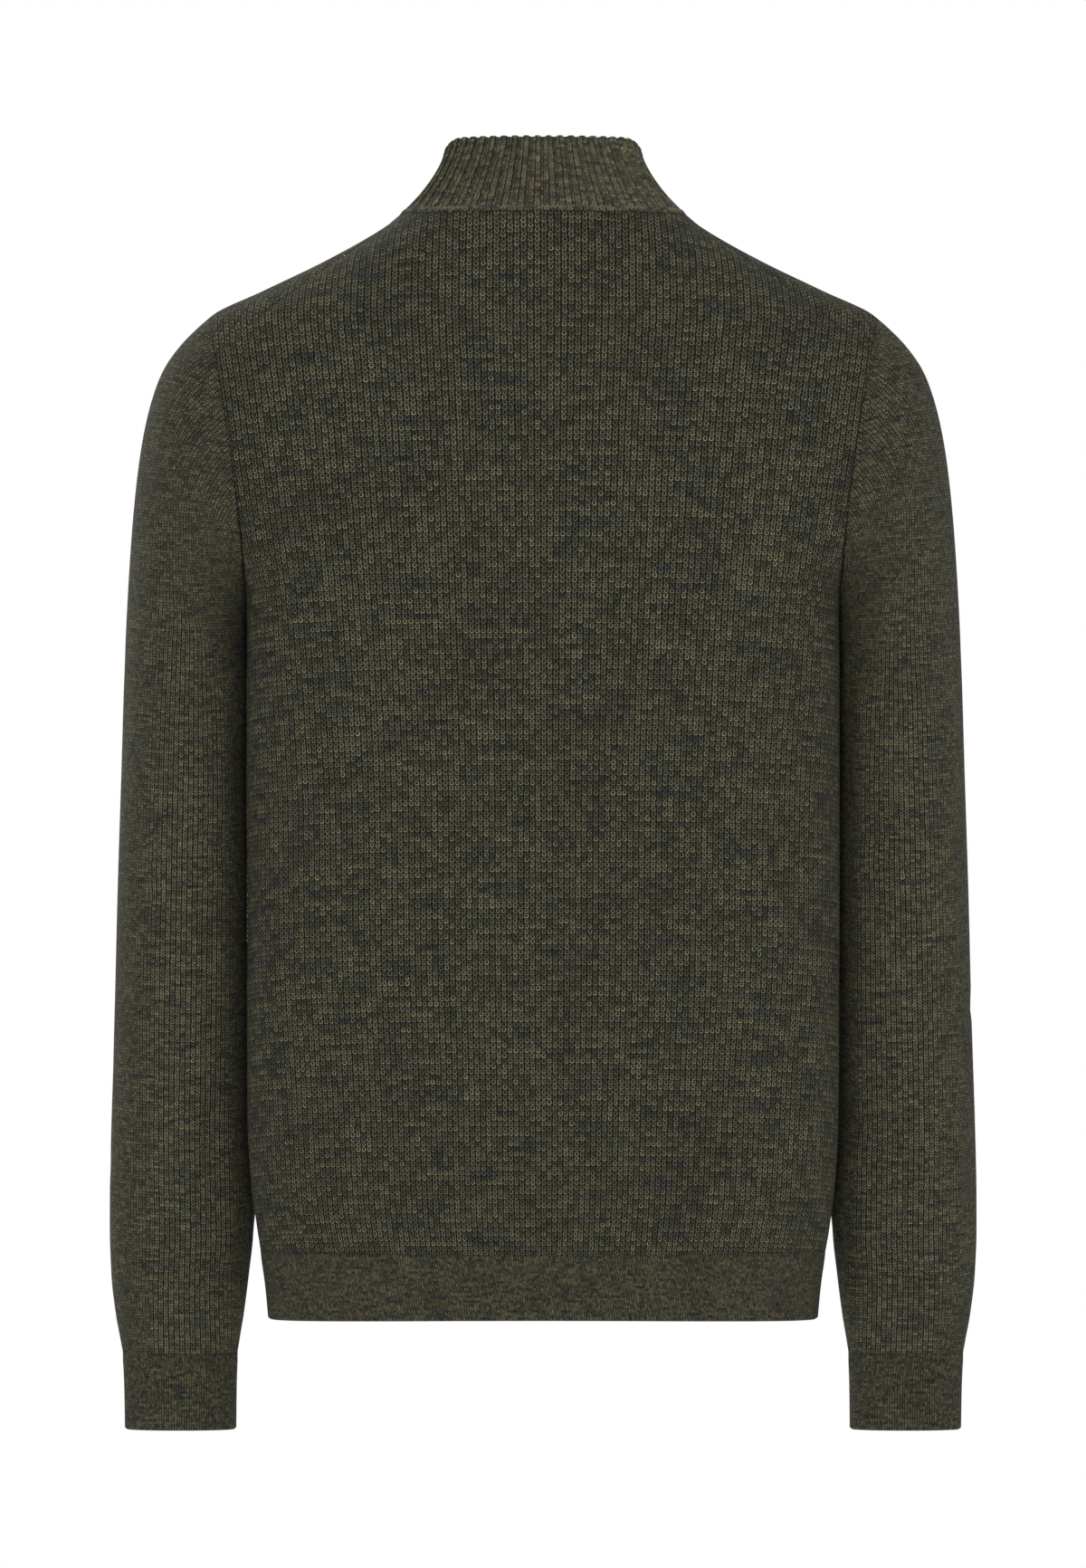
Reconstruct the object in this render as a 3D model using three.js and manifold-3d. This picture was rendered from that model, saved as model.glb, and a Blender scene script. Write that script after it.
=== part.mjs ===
// A zip-front knitted cardigan with a stand collar, filled out as it is when worn.
// Millimetres, +Z up. The front faces -Y and +X is the wearer's left. The origin is the middle
// of the neck opening, level with the back collar seam, where the wearer's neck and shoulders
// hold the garment.
import * as THREE from 'three';
import { mergeVertices } from 'three/addons/utils/BufferGeometryUtils.js';
import Module from 'manifold-3d';

// ---------- Driving dimensions ----------

const WALL = 2.6; // the knitted cloth
const SEAM_GAP = 0.3; // between two pieces at their seam

const HEM_BOTTOM = -684;
const HEM_SEAM = -641; // where the ribbed hem is linked on
const ARMHOLE_BOTTOM = -235; // the armpit
const ARMHOLE_TOP = -64; // the shoulder point
const ARMHOLE_BEND = 1.5; // how the armhole line curves in toward the armpit
const NECK_FRONT = 88; // how far the neckline reaches forward
const SHOULDER_SEAM_END = -87; // the shoulder seam lies behind the ridge and drops to here
const SHOULDER_SEAM_BEND = 1.6;

// The outline of the body, from behind: half its width at each height.
const BODY_OUTLINE = [
  { height: -684, halfWidth: 170 },
  { height: -663, halfWidth: 172 },
  { height: -629, halfWidth: 177 },
  { height: -600, halfWidth: 180.6 },
  { height: -560, halfWidth: 182.9 },
  { height: -420, halfWidth: 183.6 },
  { height: -250, halfWidth: 183.4 },
  { height: -235, halfWidth: 184 },
  { height: -215, halfWidth: 192 },
  { height: -180, halfWidth: 209 },
  { height: -135, halfWidth: 221 },
  { height: -100, halfWidth: 222 },
  { height: -85, halfWidth: 220 },
  { height: -72, halfWidth: 214 },
  { height: -64, halfWidth: 207 },
  { height: -47, halfWidth: 172.2 },
  { height: -30, halfWidth: 136.9 },
  { height: -13, halfWidth: 106 },
  { height: -6, halfWidth: 95.5 },
  { height: 0, halfWidth: 88.7 },
];

// How far the body reaches back and forward of the neck's centre, where its side lies, and how
// square its section is (2 is an ellipse).
const BODY_DEPTH = [
  { height: -684, back: 108, front: 100, sideY: 12, squareness: 2.5 },
  { height: -600, back: 115, front: 109, sideY: 14, squareness: 2.5 },
  { height: -420, back: 120, front: 117, sideY: 16, squareness: 2.5 },
  { height: -300, back: 126, front: 126, sideY: 16, squareness: 2.5 },
  { height: -235, back: 126, front: 128, sideY: 12, squareness: 2.5 },
  { height: -180, back: 118, front: 122, sideY: 6, squareness: 2.5 },
  { height: -125, back: 104, front: 109, sideY: 3, squareness: 2.4 },
  { height: -85, back: 89, front: 94, sideY: 1, squareness: 2.3 },
  { height: -64, back: 80, front: 84.5, sideY: 0, squareness: 2.2 },
  { height: -30, back: 68, front: 70, sideY: 0, squareness: 2.1 },
  { height: 0, back: 62, front: 60, sideY: 0, squareness: 2 },
];

// Sections of a sleeve from the armhole to the cuff's edge. Each is an oval from an outer to an
// inner point. The first ones fan round the armpit.
const SLEEVE_SECTIONS = [
  { outerX: 207, outerZ: -64, innerX: 184, innerZ: -235, halfDepth: 70, middleY: 4 },
  { outerX: 224.3, outerZ: -81, innerX: 184.7, innerZ: -241, halfDepth: 71, middleY: 1 },
  { outerX: 235.5, outerZ: -97, innerX: 184.8, innerZ: -246, halfDepth: 71.5, middleY: -2 },
  { outerX: 242.5, outerZ: -115, innerX: 184.7, innerZ: -252, halfDepth: 71, middleY: -6 },
  { outerX: 248.6, outerZ: -141, innerX: 184.5, innerZ: -260, halfDepth: 70.5, middleY: -10 },
  { outerX: 253.5, outerZ: -178, innerX: 184.1, innerZ: -271, halfDepth: 70, middleY: -14 },
  { outerX: 257, outerZ: -222, innerX: 183.6, innerZ: -289, halfDepth: 70, middleY: -18 },
  { outerX: 259.8, outerZ: -275, innerX: 183.1, innerZ: -319, halfDepth: 69, middleY: -22 },
  { outerX: 262, outerZ: -345, innerX: 182.8, innerZ: -368, halfDepth: 66, middleY: -24 },
  { outerX: 264.4, outerZ: -420, innerX: 182.8, innerZ: -430, halfDepth: 61, middleY: -24 },
  { outerX: 266.3, outerZ: -495, innerX: 182.8, innerZ: -495, halfDepth: 57, middleY: -25 },
  { outerX: 268.5, outerZ: -562, innerX: 182.3, innerZ: -562, halfDepth: 54, middleY: -26 },
  { outerX: 269.5, outerZ: -604, innerX: 180.8, innerZ: -604, halfDepth: 52, middleY: -27 },
  { outerX: 269.6, outerZ: -630, innerX: 180.2, innerZ: -630, halfDepth: 49, middleY: -28 },
  { outerX: 268.6, outerZ: -657, innerX: 182.8, innerZ: -657, halfDepth: 45, middleY: -29 },
  { outerX: 265.8, outerZ: -682, innerX: 186, innerZ: -682, halfDepth: 38, middleY: -30 },
  { outerX: 261.8, outerZ: -706, innerX: 189.6, innerZ: -706, halfDepth: 30, middleY: -31 },
  { outerX: 260.6, outerZ: -728, innerX: 190.5, innerZ: -728, halfDepth: 28, middleY: -32 },
  { outerX: 260.2, outerZ: -753, innerX: 190.8, innerZ: -753, halfDepth: 27, middleY: -33 },
];
const CUFF_SECTION = 16; // the section at which the cuff is linked on
const ARMHOLE_FADE = 5; // sections over which the armhole's own shape fades into the ovals
const SLEEVE_SQUARENESS = 2.2;

const COLLAR_TOP = { halfWidth: 62, back: 56, front: 70, height: 47, frontDrop: 60 };
const COLLAR_LEVEL_FROM = 35; // degrees behind the side at which the top edge starts to drop
const COLLAR_FLARE = 0.5; // how hollow the collar's sides are

const ZIP = {
  clothEdge: 4.2, // half the gap between the two fronts
  toothEdge: 0.15,
  toothWidth: 2.6,
  toothSink: 0.3, // how far the teeth lie below the cloth's face
  toothDepth: 2.7,
  tapeSink: 3.4, // the tapes lie just behind the cloth
  tapeEdge: 1.6,
  tapeWidth: 12,
  tapeThickness: 0.8,
};
const SLIDER = {
  alongCollar: 0.8, // how far up the collar it sits
  width: 7,
  height: 11,
  plate: 1.2,
  backPlate: 1,
  backHeight: 9,
};
const POST = { width: 1.8, height: 3, z: 2.4 }; // joins the slider's two plates
const BRIDGE = { width: 1.6, height: 8, rise: 3, bar: 1, root: 0.4 };
const PULL = {
  width: 6.6,
  length: 24,
  thickness: 1.2,
  bar: 1.2,
  window: 2.6,
  windowLength: 5,
  corner: 2,
  play: 0.5, // under the bridge
};
const STOP = { width: 1.8, height: 2.6, aside: 0.6, above: 7.2 };
const BOX = { height: 8.5, side: 0.5, lift: 0.2 };

// Grid steps
const BODY_ROWS = [HEM_SEAM, -618, -590, -550, -490, -420, -350, -290, -245, ARMHOLE_BOTTOM];
const HEM_ROWS = [HEM_BOTTOM, -663, HEM_SEAM];
const YOKE_ROWS = 11;
const NECK_COLUMNS = 7;
const SHOULDER_COLUMNS = 7;
const SLEEVE_COLUMNS = 22;
const COLLAR_ROWS = [0, 0.25, 0.5, 0.75, 1];
const SAME_PLACE = 0.001; // two distances this near count as equal

const CLOTH_COLOUR = 0x3d3b30;
const RIB_COLOUR = 0x3f3c31;
const TAPE_COLOUR = 0x1c1d20;
const METAL_COLOUR = 0x6d6a63;

const DEGREE = Math.PI / 180;
const SIDES = [
  { name: 'left', sign: 1 },
  { name: 'right', sign: -1 },
];

// ---------- Small helpers ----------

const lerp = THREE.MathUtils.lerp;
const smooth = (t) => THREE.MathUtils.smoothstep(t, 0, 1);
const signedPower = (value, power) => Math.sign(value) * Math.abs(value) ** power;
const spread = (count) => Array.from({ length: count + 1 }, (_, i) => i / count);

// A smooth curve through one column of a table, without overshoot.
function column(table, key, name) {
  const xs = table.map((row, i) => (key ? row[key] : i));
  const ys = table.map((row) => row[name]);
  const chords = xs.slice(1).map((x, i) => (ys[i + 1] - ys[i]) / (x - xs[i]));
  const slopes = xs.map((_, i) => {
    if (i === 0) return chords[0];
    if (i === chords.length) return chords[i - 1];
    const before = chords[i - 1];
    const after = chords[i];
    return before * after <= 0 ? 0 : (2 * before * after) / (before + after);
  });
  return (at) => {
    let i = 0;
    while (i < chords.length - 1 && at > xs[i + 1]) i += 1;
    const span = xs[i + 1] - xs[i];
    const t = THREE.MathUtils.clamp((at - xs[i]) / span, 0, 1);
    const t2 = t * t;
    const t3 = t2 * t;
    const start = ys[i] * (2 * t3 - 3 * t2 + 1) + slopes[i] * span * (t3 - 2 * t2 + t);
    return start + ys[i + 1] * (3 * t2 - 2 * t3) + slopes[i + 1] * span * (t3 - t2);
  };
}

// The value between low and high at which a rising function reaches zero.
function solve(rising, low, high) {
  let a = low;
  let b = high;
  for (let i = 0; i < 50; i += 1) {
    const middle = (a + b) / 2;
    if (rising(middle) < 0) a = middle;
    else b = middle;
  }
  return (a + b) / 2;
}

// ---------- The body's surface ----------

const bodyHalfWidth = column(BODY_OUTLINE, 'height', 'halfWidth');
const bodyBack = column(BODY_DEPTH, 'height', 'back');
const bodyFront = column(BODY_DEPTH, 'height', 'front');
const bodySideY = column(BODY_DEPTH, 'height', 'sideY');
const bodySquareness = column(BODY_DEPTH, 'height', 'squareness');

function bodyDepth(z, facing) {
  return facing > 0 ? bodyBack(z) - bodySideY(z) : bodyFront(z) + bodySideY(z);
}

// Zero on the body's surface, above zero outside it.
function bodyForm(x, y, z) {
  const fromSide = y - bodySideY(z);
  const n = bodySquareness(z);
  const across = Math.abs(x) / bodyHalfWidth(z);
  return across ** n + (Math.abs(fromSide) / bodyDepth(z, fromSide)) ** n - 1;
}

function bodySlope({ x, y, z }) {
  const step = 0.2;
  return new THREE.Vector3(
    bodyForm(x + step, y, z) - bodyForm(x - step, y, z),
    bodyForm(x, y + step, z) - bodyForm(x, y - step, z),
    bodyForm(x, y, z + step) - bodyForm(x, y, z - step),
  ).divideScalar(2 * step);
}

const bodyNormal = (point) => bodySlope(point).normalize();

// The nearest place on the body's surface to a point that lies close to it.
function ontoBody(point) {
  for (let i = 0; i < 12; i += 1) {
    const slope = bodySlope(point);
    point.addScaledVector(slope, -bodyForm(point.x, point.y, point.z) / slope.lengthSq());
  }
  return { point, out: bodyNormal(point) };
}

// The point of the body at x and height z, on its back (facing 1) or front (facing -1).
function bodyAt(x, z, facing) {
  const n = bodySquareness(z);
  const across = Math.min(x / bodyHalfWidth(z), 1);
  const y = bodySideY(z) + facing * bodyDepth(z, facing) * (1 - across ** n) ** (1 / n);
  const point = new THREE.Vector3(x, y, z);
  return { point, out: bodyNormal(point) };
}

// Even steps round the level section at the armpit, from x = start to the side.
function evenWidths(start, facing, count) {
  const fine = spread(400).map((t) => {
    const from = Math.acos(start / bodyHalfWidth(ARMHOLE_BOTTOM));
    const x = bodyHalfWidth(ARMHOLE_BOTTOM) * Math.cos(from * (1 - t));
    return bodyAt(x, ARMHOLE_BOTTOM, facing).point;
  });
  const lengths = [0];
  fine.slice(1).forEach((point, i) => lengths.push(lengths[i] + point.distanceTo(fine[i])));
  const total = lengths[lengths.length - 1];
  return spread(count).map((t) => fine[lengths.findIndex((l) => l >= t * total - 1e-6)].x);
}

// ---------- Seam lines on the body ----------

const armholeMiddle = (ARMHOLE_TOP + ARMHOLE_BOTTOM) / 2;
const armholeHalf = (ARMHOLE_TOP - ARMHOLE_BOTTOM) / 2;

function armholeX(z) {
  const up = THREE.MathUtils.clamp((z - ARMHOLE_BOTTOM) / (2 * armholeHalf), 0, 1);
  return lerp(bodyHalfWidth(ARMHOLE_BOTTOM), bodyHalfWidth(ARMHOLE_TOP), up ** ARMHOLE_BEND);
}

// The armhole: turn 0 is the shoulder point, 180 the armpit, and above 0 lies on the back.
function armholeAt(turn) {
  const z = armholeMiddle + armholeHalf * Math.cos(turn * DEGREE);
  const facing = Math.sin(turn * DEGREE) >= 0 ? 1 : -1;
  return bodyAt(armholeX(z), z, facing).point;
}

// Both pieces at the armhole keep their walls in the seam's own curved plane.
function armholeOut(turn) {
  const ahead = armholeAt(turn + 1);
  const behind = armholeAt(turn - 1);
  const out = new THREE.Vector3(0, ahead.z - behind.z, behind.y - ahead.y).normalize();
  out.negate();
  const z = armholeAt(turn).z;
  out.x = (armholeX(z + out.z) - armholeX(z - out.z)) / 2;
  return out;
}

function armholeEdge(turn, sign) {
  const shift = new THREE.Vector3((sign * SEAM_GAP) / 2, 0, 0);
  return { point: armholeAt(turn), out: armholeOut(turn), shift };
}

const ridgeHeight = (x) => solve((z) => x - bodyHalfWidth(z), ARMHOLE_TOP, 0);
const neckHalfWidth = bodyHalfWidth(0);
const seamEndTurn = Math.acos((SHOULDER_SEAM_END - armholeMiddle) / armholeHalf) / DEGREE;
const seamEndX = armholeX(SHOULDER_SEAM_END);

// The shoulder seam: along 0 is at the neck, 1 at the armhole.
function shoulderSeam(along) {
  const x = lerp(neckHalfWidth, seamEndX, along);
  const drop = (ridgeHeight(seamEndX) - SHOULDER_SEAM_END) * along ** SHOULDER_SEAM_BEND;
  return bodyAt(x, ridgeHeight(x) - drop, 1).point;
}

// The neckline: turn 90 is the middle of the back, 0 the side, below 0 the front.
function necklineAt(turn) {
  const x = neckHalfWidth * Math.cos(turn * DEGREE);
  if (turn >= 0) return new THREE.Vector3(x, bodyBack(0) * Math.sin(turn * DEGREE), 0);
  const y = NECK_FRONT * Math.sin(turn * DEGREE);
  return new THREE.Vector3(x, y, solve((z) => bodyForm(x, y, z), ARMHOLE_BOTTOM, 0));
}

// ---------- The collar's surface ----------

const frontTurn = (halfWidth) => -Math.acos(ZIP.clothEdge / halfWidth) / DEGREE;

function collarAt(turn, up) {
  const foot = necklineAt(turn);
  const cosine = Math.cos(turn * DEGREE);
  const sine = Math.sin(turn * DEGREE);
  const fall = smooth((COLLAR_LEVEL_FROM - turn) / (COLLAR_LEVEL_FROM + 90));
  const top = {
    x: COLLAR_TOP.halfWidth * cosine,
    y: (turn > 0 ? COLLAR_TOP.back : COLLAR_TOP.front) * sine,
    z: COLLAR_TOP.height - COLLAR_TOP.frontDrop * fall,
  };
  const lean = (1 - up) ** (1 + COLLAR_FLARE * Math.abs(cosine));
  return new THREE.Vector3(
    lerp(top.x, foot.x, lean),
    lerp(top.y, foot.y, lean),
    lerp(foot.z, top.z, up),
  );
}

function collarNormal(turn, up) {
  const along = collarAt(turn + 1, up).sub(collarAt(turn - 1, up));
  const rise = collarAt(turn, Math.min(up + 0.05, 1)).sub(collarAt(turn, Math.max(up - 0.05, 0)));
  return along.cross(rise).normalize();
}

// The two walls at the neckline share one direction, halfway between them.
function necklineEdge(turn) {
  const point = necklineAt(turn);
  return { point, out: bodyNormal(point).add(collarNormal(turn, 0)).normalize() };
}

// ---------- A sleeve's surface ----------

const sleeveColumns = Object.fromEntries(
  Object.keys(SLEEVE_SECTIONS[0]).map((name) => [name, column(SLEEVE_SECTIONS, null, name)]),
);

function sleeveOval(section, turn) {
  const at = Object.fromEntries(
    Object.entries(sleeveColumns).map(([name, curve]) => [name, curve(section)]),
  );
  const out = signedPower(Math.cos(turn * DEGREE), 2 / SLEEVE_SQUARENESS);
  const aside = signedPower(Math.sin(turn * DEGREE), 2 / SLEEVE_SQUARENESS);
  return new THREE.Vector3(
    lerp(at.innerX, at.outerX, (1 + out) / 2),
    at.middleY + at.halfDepth * aside,
    lerp(at.innerZ, at.outerZ, (1 + out) / 2),
  );
}

function sleeveAt(section, turn) {
  const point = sleeveOval(section, turn);
  const keep = Math.max(0, 1 - section / ARMHOLE_FADE) ** 2;
  return point.add(armholeAt(turn).sub(sleeveOval(0, turn)).multiplyScalar(keep));
}

function sleeveNormal(section, turn) {
  const last = SLEEVE_SECTIONS.length - 1;
  const along = sleeveAt(Math.min(section + 0.1, last), turn);
  along.sub(sleeveAt(Math.max(section - 0.1, 0), turn));
  const round = sleeveAt(section, turn + 2).sub(sleeveAt(section, turn - 2));
  return along.cross(round).normalize();
}

// ---------- From grids of points to cloth ----------

// A piece of cloth: an outer face made of grids that share their common points, and a wall of
// one thickness behind it. Its rim is drawn in by half the seam gap.
class Cloth {
  constructor() {
    this.points = [];
    this.outs = [];
    this.shifts = [];
    this.faces = [];
    this.found = new Map();
  }

  vertex({ point, out, shift }) {
    const key = [point.x, point.y, point.z].map((value) => Math.round(value * 100)).join();
    if (!this.found.has(key)) {
      this.found.set(key, this.points.length);
      this.points.push(point.clone());
      this.outs.push(out.clone());
      this.shifts.push(shift ?? null);
    }
    return this.found.get(key);
  }

  // Four corners become two triangles, split along the shorter way.
  quad(a, b, c, d) {
    const first = this.points[a].distanceTo(this.points[c]);
    const second = this.points[b].distanceTo(this.points[d]);
    if (first <= second) this.faces.push([a, b, c], [a, c, d]);
    else this.faces.push([a, b, d], [b, c, d]);
  }

  grid(rows, round = false) {
    const indices = rows.map((row) => row.map((entry) => this.vertex(entry)));
    for (let r = 0; r < indices.length - 1; r += 1) {
      const count = indices[r].length;
      for (let c = 0; c < (round ? count : count - 1); c += 1) {
        const next = (c + 1) % count;
        this.quad(indices[r][c], indices[r][next], indices[r + 1][next], indices[r + 1][c]);
      }
    }
    return this;
  }

  rim() {
    const used = new Set(this.faces.flatMap(([a, b, c]) => [`${a},${b}`, `${b},${c}`, `${c},${a}`]));
    return this.faces.flatMap((face) =>
      face
        .map((from, i) => [from, face[(i + 1) % 3], face[(i + 2) % 3]])
        .filter(([from, to]) => !used.has(`${to},${from}`)),
    );
  }

  drawIn(distance) {
    const inward = this.points.map(() => []);
    for (const [from, to, inner] of this.rim()) {
      const along = this.points[to].clone().sub(this.points[from]).normalize();
      const into = this.points[inner].clone().sub(this.points[from]);
      into.addScaledVector(along, -into.dot(along)).normalize();
      inward[from].push(into);
      inward[to].push(into);
    }
    inward.forEach((directions, i) => {
      if (directions.length === 0) return;
      const first = directions[0];
      const second = directions[1] ?? first;
      const draw = first.clone().add(second);
      draw.multiplyScalar(distance / Math.max(1 + first.dot(second), 0.3));
      this.points[i].add(this.shifts[i] ?? draw);
    });
    return this;
  }

  // The wall along a rim is split by where its ends lie, so that two pieces split alike where
  // they meet, and so do the two halves of the cardigan.
  solid(thickness, gap = SEAM_GAP) {
    const rim = this.rim().map(([from, to]) => ({
      from,
      to,
      fromFirst: comesFirst(this.points[from], this.points[to]),
    }));
    this.drawIn(gap / 2);
    const count = this.points.length;
    const inner = this.points.map((p, i) => p.clone().addScaledVector(this.outs[i], -thickness));
    const positions = [...this.points, ...inner].flatMap((p) => [p.x, p.y, p.z]);
    const faces = [...this.faces, ...this.faces.map(([a, b, c]) => [a + count, c + count, b + count])];
    for (const { from, to, fromFirst } of rim) {
      if (fromFirst) faces.push([to, from, to + count], [from, from + count, to + count]);
      else faces.push([to, from, from + count], [to, from + count, to + count]);
    }
    const geometry = new THREE.BufferGeometry();
    geometry.setAttribute('position', new THREE.Float32BufferAttribute(positions, 3));
    geometry.setIndex(facingOut(positions, faces).flat());
    geometry.computeVertexNormals();
    return geometry;
  }
}

// Whether p is nearer the middle of the cardigan than q, or else lower, or else further forward.
function comesFirst(p, q) {
  const apart = [Math.abs(p.x) - Math.abs(q.x), p.z - q.z, p.y - q.y];
  return (apart.find((distance) => Math.abs(distance) > SAME_PLACE) ?? 0) < 0;
}

function facingOut(positions, faces) {
  const at = (i) => new THREE.Vector3().fromArray(positions, 3 * i);
  const volume = faces.reduce((sum, [a, b, c]) => sum + at(a).dot(at(b).cross(at(c))), 0);
  return volume > 0 ? faces : faces.map(([a, b, c]) => [a, c, b]);
}

// The same piece for the wearer's right.
function mirrored(geometry) {
  const copy = geometry.clone();
  copy.scale(-1, 1, 1);
  const index = copy.getIndex().array;
  for (let i = 0; i < index.length; i += 3) {
    [index[i + 1], index[i + 2]] = [index[i + 2], index[i + 1]];
  }
  copy.computeVertexNormals();
  return copy;
}

const forSide = (geometry, sign) => (sign > 0 ? geometry : mirrored(geometry));

// A point inside four edges, each a function of a share from 0 to 1.
function between({ bottom, top, inner, outer }, across, up) {
  const mix = (from, to, share) => from.clone().lerp(to, share);
  const corners = mix(mix(inner(0), outer(0), across), mix(inner(1), outer(1), across), up);
  const sides = mix(inner(up), outer(up), across);
  return sides.add(mix(bottom(across), top(across), up)).sub(corners);
}

// The upper part of a front or back, from the armpit's level to the neckline and shoulder.
function yokeRows({ start, facing, neckTurn, seamTurn }) {
  const columns = NECK_COLUMNS + SHOULDER_COLUMNS;
  const neckShare = NECK_COLUMNS / columns;
  const widths = evenWidths(start, facing, columns);
  const innerTop = necklineAt(neckTurn).z;
  const edges = {
    bottom: (across) => bodyAt(widths[Math.round(across * columns)], ARMHOLE_BOTTOM, facing).point,
    top: (across) =>
      across <= neckShare
        ? necklineAt(neckTurn * (1 - across / neckShare))
        : shoulderSeam((across - neckShare) / (1 - neckShare)),
    inner: (up) => bodyAt(start, lerp(ARMHOLE_BOTTOM, innerTop, up), facing).point,
    outer: (up) => armholeAt(lerp(180 * facing, seamTurn, up)),
  };
  return spread(YOKE_ROWS).map((up, row) =>
    spread(columns).map((across, c) => {
      if (c === columns && row > 0) return armholeEdge(lerp(180 * facing, seamTurn, up), -1);
      if (row === YOKE_ROWS && c <= NECK_COLUMNS) return necklineEdge(neckTurn * (1 - c / NECK_COLUMNS));
      return ontoBody(between(edges, across, up));
    }),
  );
}

function lowerRows(heights, start, facing) {
  const columns = NECK_COLUMNS + SHOULDER_COLUMNS;
  const widths = evenWidths(start, facing, columns);
  const full = bodyHalfWidth(ARMHOLE_BOTTOM);
  return heights.map((z) =>
    widths.map((width, c) => {
      if (c === 0) return bodyAt(start, z, facing);
      return bodyAt((width / full) * bodyHalfWidth(z), z, facing);
    }),
  );
}

// ---------- The pieces of the body ----------

const SEAM_GAP_TURN = SEAM_GAP / 2 / armholeHalf / DEGREE;

const backYoke = () =>
  yokeRows({ start: 0, facing: 1, neckTurn: 90, seamTurn: seamEndTurn + SEAM_GAP_TURN });

// The front wraps over the shoulder's ridge to the seam behind it.
const frontYoke = () =>
  yokeRows({
    start: ZIP.clothEdge,
    facing: -1,
    neckTurn: frontTurn(neckHalfWidth),
    seamTurn: seamEndTurn - SEAM_GAP_TURN,
  });

function mirroredEntry({ point, out, shift }) {
  const flip = new THREE.Vector3(-1, 1, 1);
  return {
    point: point.clone().multiply(flip),
    out: out.clone().multiply(flip),
    shift: shift ? shift.clone().multiply(flip) : undefined,
  };
}

// Rows from the middle to one side become rows across the whole width.
const acrossBoth = (rows) =>
  rows.map((row) => [...row.slice(1).reverse().map(mirroredEntry), ...row]);

const backPiece = () => {
  const rows = [...lowerRows(BODY_ROWS.slice(0, -1), 0, 1), ...backYoke()];
  return new Cloth().grid(acrossBoth(rows)).solid(WALL);
};

const frontPiece = () => {
  const rows = [...lowerRows(BODY_ROWS.slice(0, -1), ZIP.clothEdge, -1), ...frontYoke()];
  return new Cloth().grid(rows).solid(WALL);
};

const backHem = () => new Cloth().grid(acrossBoth(lowerRows(HEM_ROWS, 0, 1))).solid(WALL);

const frontHem = () => new Cloth().grid(lowerRows(HEM_ROWS, ZIP.clothEdge, -1)).solid(WALL);

// ---------- Sleeves, cuffs and collar ----------

function sleeveRows(sections) {
  return sections.map((section) =>
    spread(SLEEVE_COLUMNS)
      .slice(1)
      .map((share) => {
        const turn = 360 * share - 180;
        if (section === 0) return armholeEdge(turn, 1);
        return { point: sleeveAt(section, turn), out: sleeveNormal(section, turn) };
      }),
  );
}

const sectionsBetween = (from, to) => Array.from({ length: to - from + 1 }, (_, i) => from + i);

const sleevePiece = () => new Cloth().grid(sleeveRows(sectionsBetween(0, CUFF_SECTION)), true).solid(WALL);

const cuffPiece = () => {
  const sections = sectionsBetween(CUFF_SECTION, SLEEVE_SECTIONS.length - 1);
  return new Cloth().grid(sleeveRows(sections), true).solid(WALL);
};

function collarWidth(up) {
  const lean = (1 - up) ** (1 + COLLAR_FLARE * (ZIP.clothEdge / neckHalfWidth));
  return lerp(COLLAR_TOP.halfWidth, neckHalfWidth, lean);
}

function collarPiece() {
  const rows = COLLAR_ROWS.map((up) => {
    const first = frontTurn(collarWidth(up));
    const front = spread(NECK_COLUMNS).map((share) => first * (1 - share));
    const back = spread(NECK_COLUMNS).slice(1).map((share) => 90 * share);
    return [...front, ...back].reverse().map((turn) => {
      if (up === 0) return necklineEdge(turn);
      return { point: collarAt(turn, up), out: collarNormal(turn, up) };
    });
  });
  return new Cloth().grid(acrossBoth(rows)).solid(WALL);
}

// ---------- The zip ----------

// The middle line of the front, from the hem's edge up to the collar's: x may lie aside of it.
const ZIP_STOPS = [
  ...[-675, -641, -590, -520, -420, -320, -235, -190, -150, -110, -80].map((z) => ({ z })),
  ...[0.12, 0.4, 0.8].map((up) => ({ up })),
];

function zipAt({ z, up }, x) {
  if (up === undefined) return bodyAt(x, z, -1);
  const turn = -Math.acos(x / collarWidth(up)) / DEGREE;
  return { point: collarAt(turn, up), out: collarNormal(turn, up) };
}

function sunk({ point, out }, depth) {
  return { point: point.clone().addScaledVector(out, -depth), out };
}

function zipStrip(stops, widths, sink, thickness) {
  const rows = stops.map((stop) => widths.map((x) => sunk(zipAt(stop, x), sink)));
  return new Cloth().grid(rows).solid(thickness, 0);
}

function tapePiece() {
  const middle = (ZIP.tapeEdge + ZIP.tapeWidth) / 2;
  const stops = [{ z: HEM_BOTTOM + 1 }, ...ZIP_STOPS, { up: 0.97 }];
  return zipStrip(stops, [ZIP.tapeEdge, middle, ZIP.tapeWidth], ZIP.tapeSink, ZIP.tapeThickness);
}

const teethPiece = () => zipStrip(ZIP_STOPS, [ZIP.toothEdge, ZIP.toothWidth], ZIP.toothSink, ZIP.toothDepth);

const box = (width, depth, height, x, y, z) => new THREE.BoxGeometry(width, depth, height).translate(x, y, z);

const wasm = await Module();
wasm.setup();

function toSolid(geometry) {
  const bare = geometry.clone();
  bare.deleteAttribute('normal');
  bare.deleteAttribute('uv');
  const merged = mergeVertices(bare, 1e-4);
  const vertProperties = new Float32Array(merged.getAttribute('position').array);
  const triVerts = new Uint32Array(merged.getIndex().array);
  return new wasm.Manifold(new wasm.Mesh({ numProp: 3, vertProperties, triVerts }));
}

function toGeometry(solid) {
  const { vertProperties, triVerts } = solid.getMesh();
  const geometry = new THREE.BufferGeometry();
  geometry.setAttribute('position', new THREE.BufferAttribute(new Float32Array(vertProperties), 3));
  geometry.setIndex(new THREE.BufferAttribute(new Uint32Array(triVerts), 1));
  geometry.computeVertexNormals();
  return geometry;
}

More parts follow.
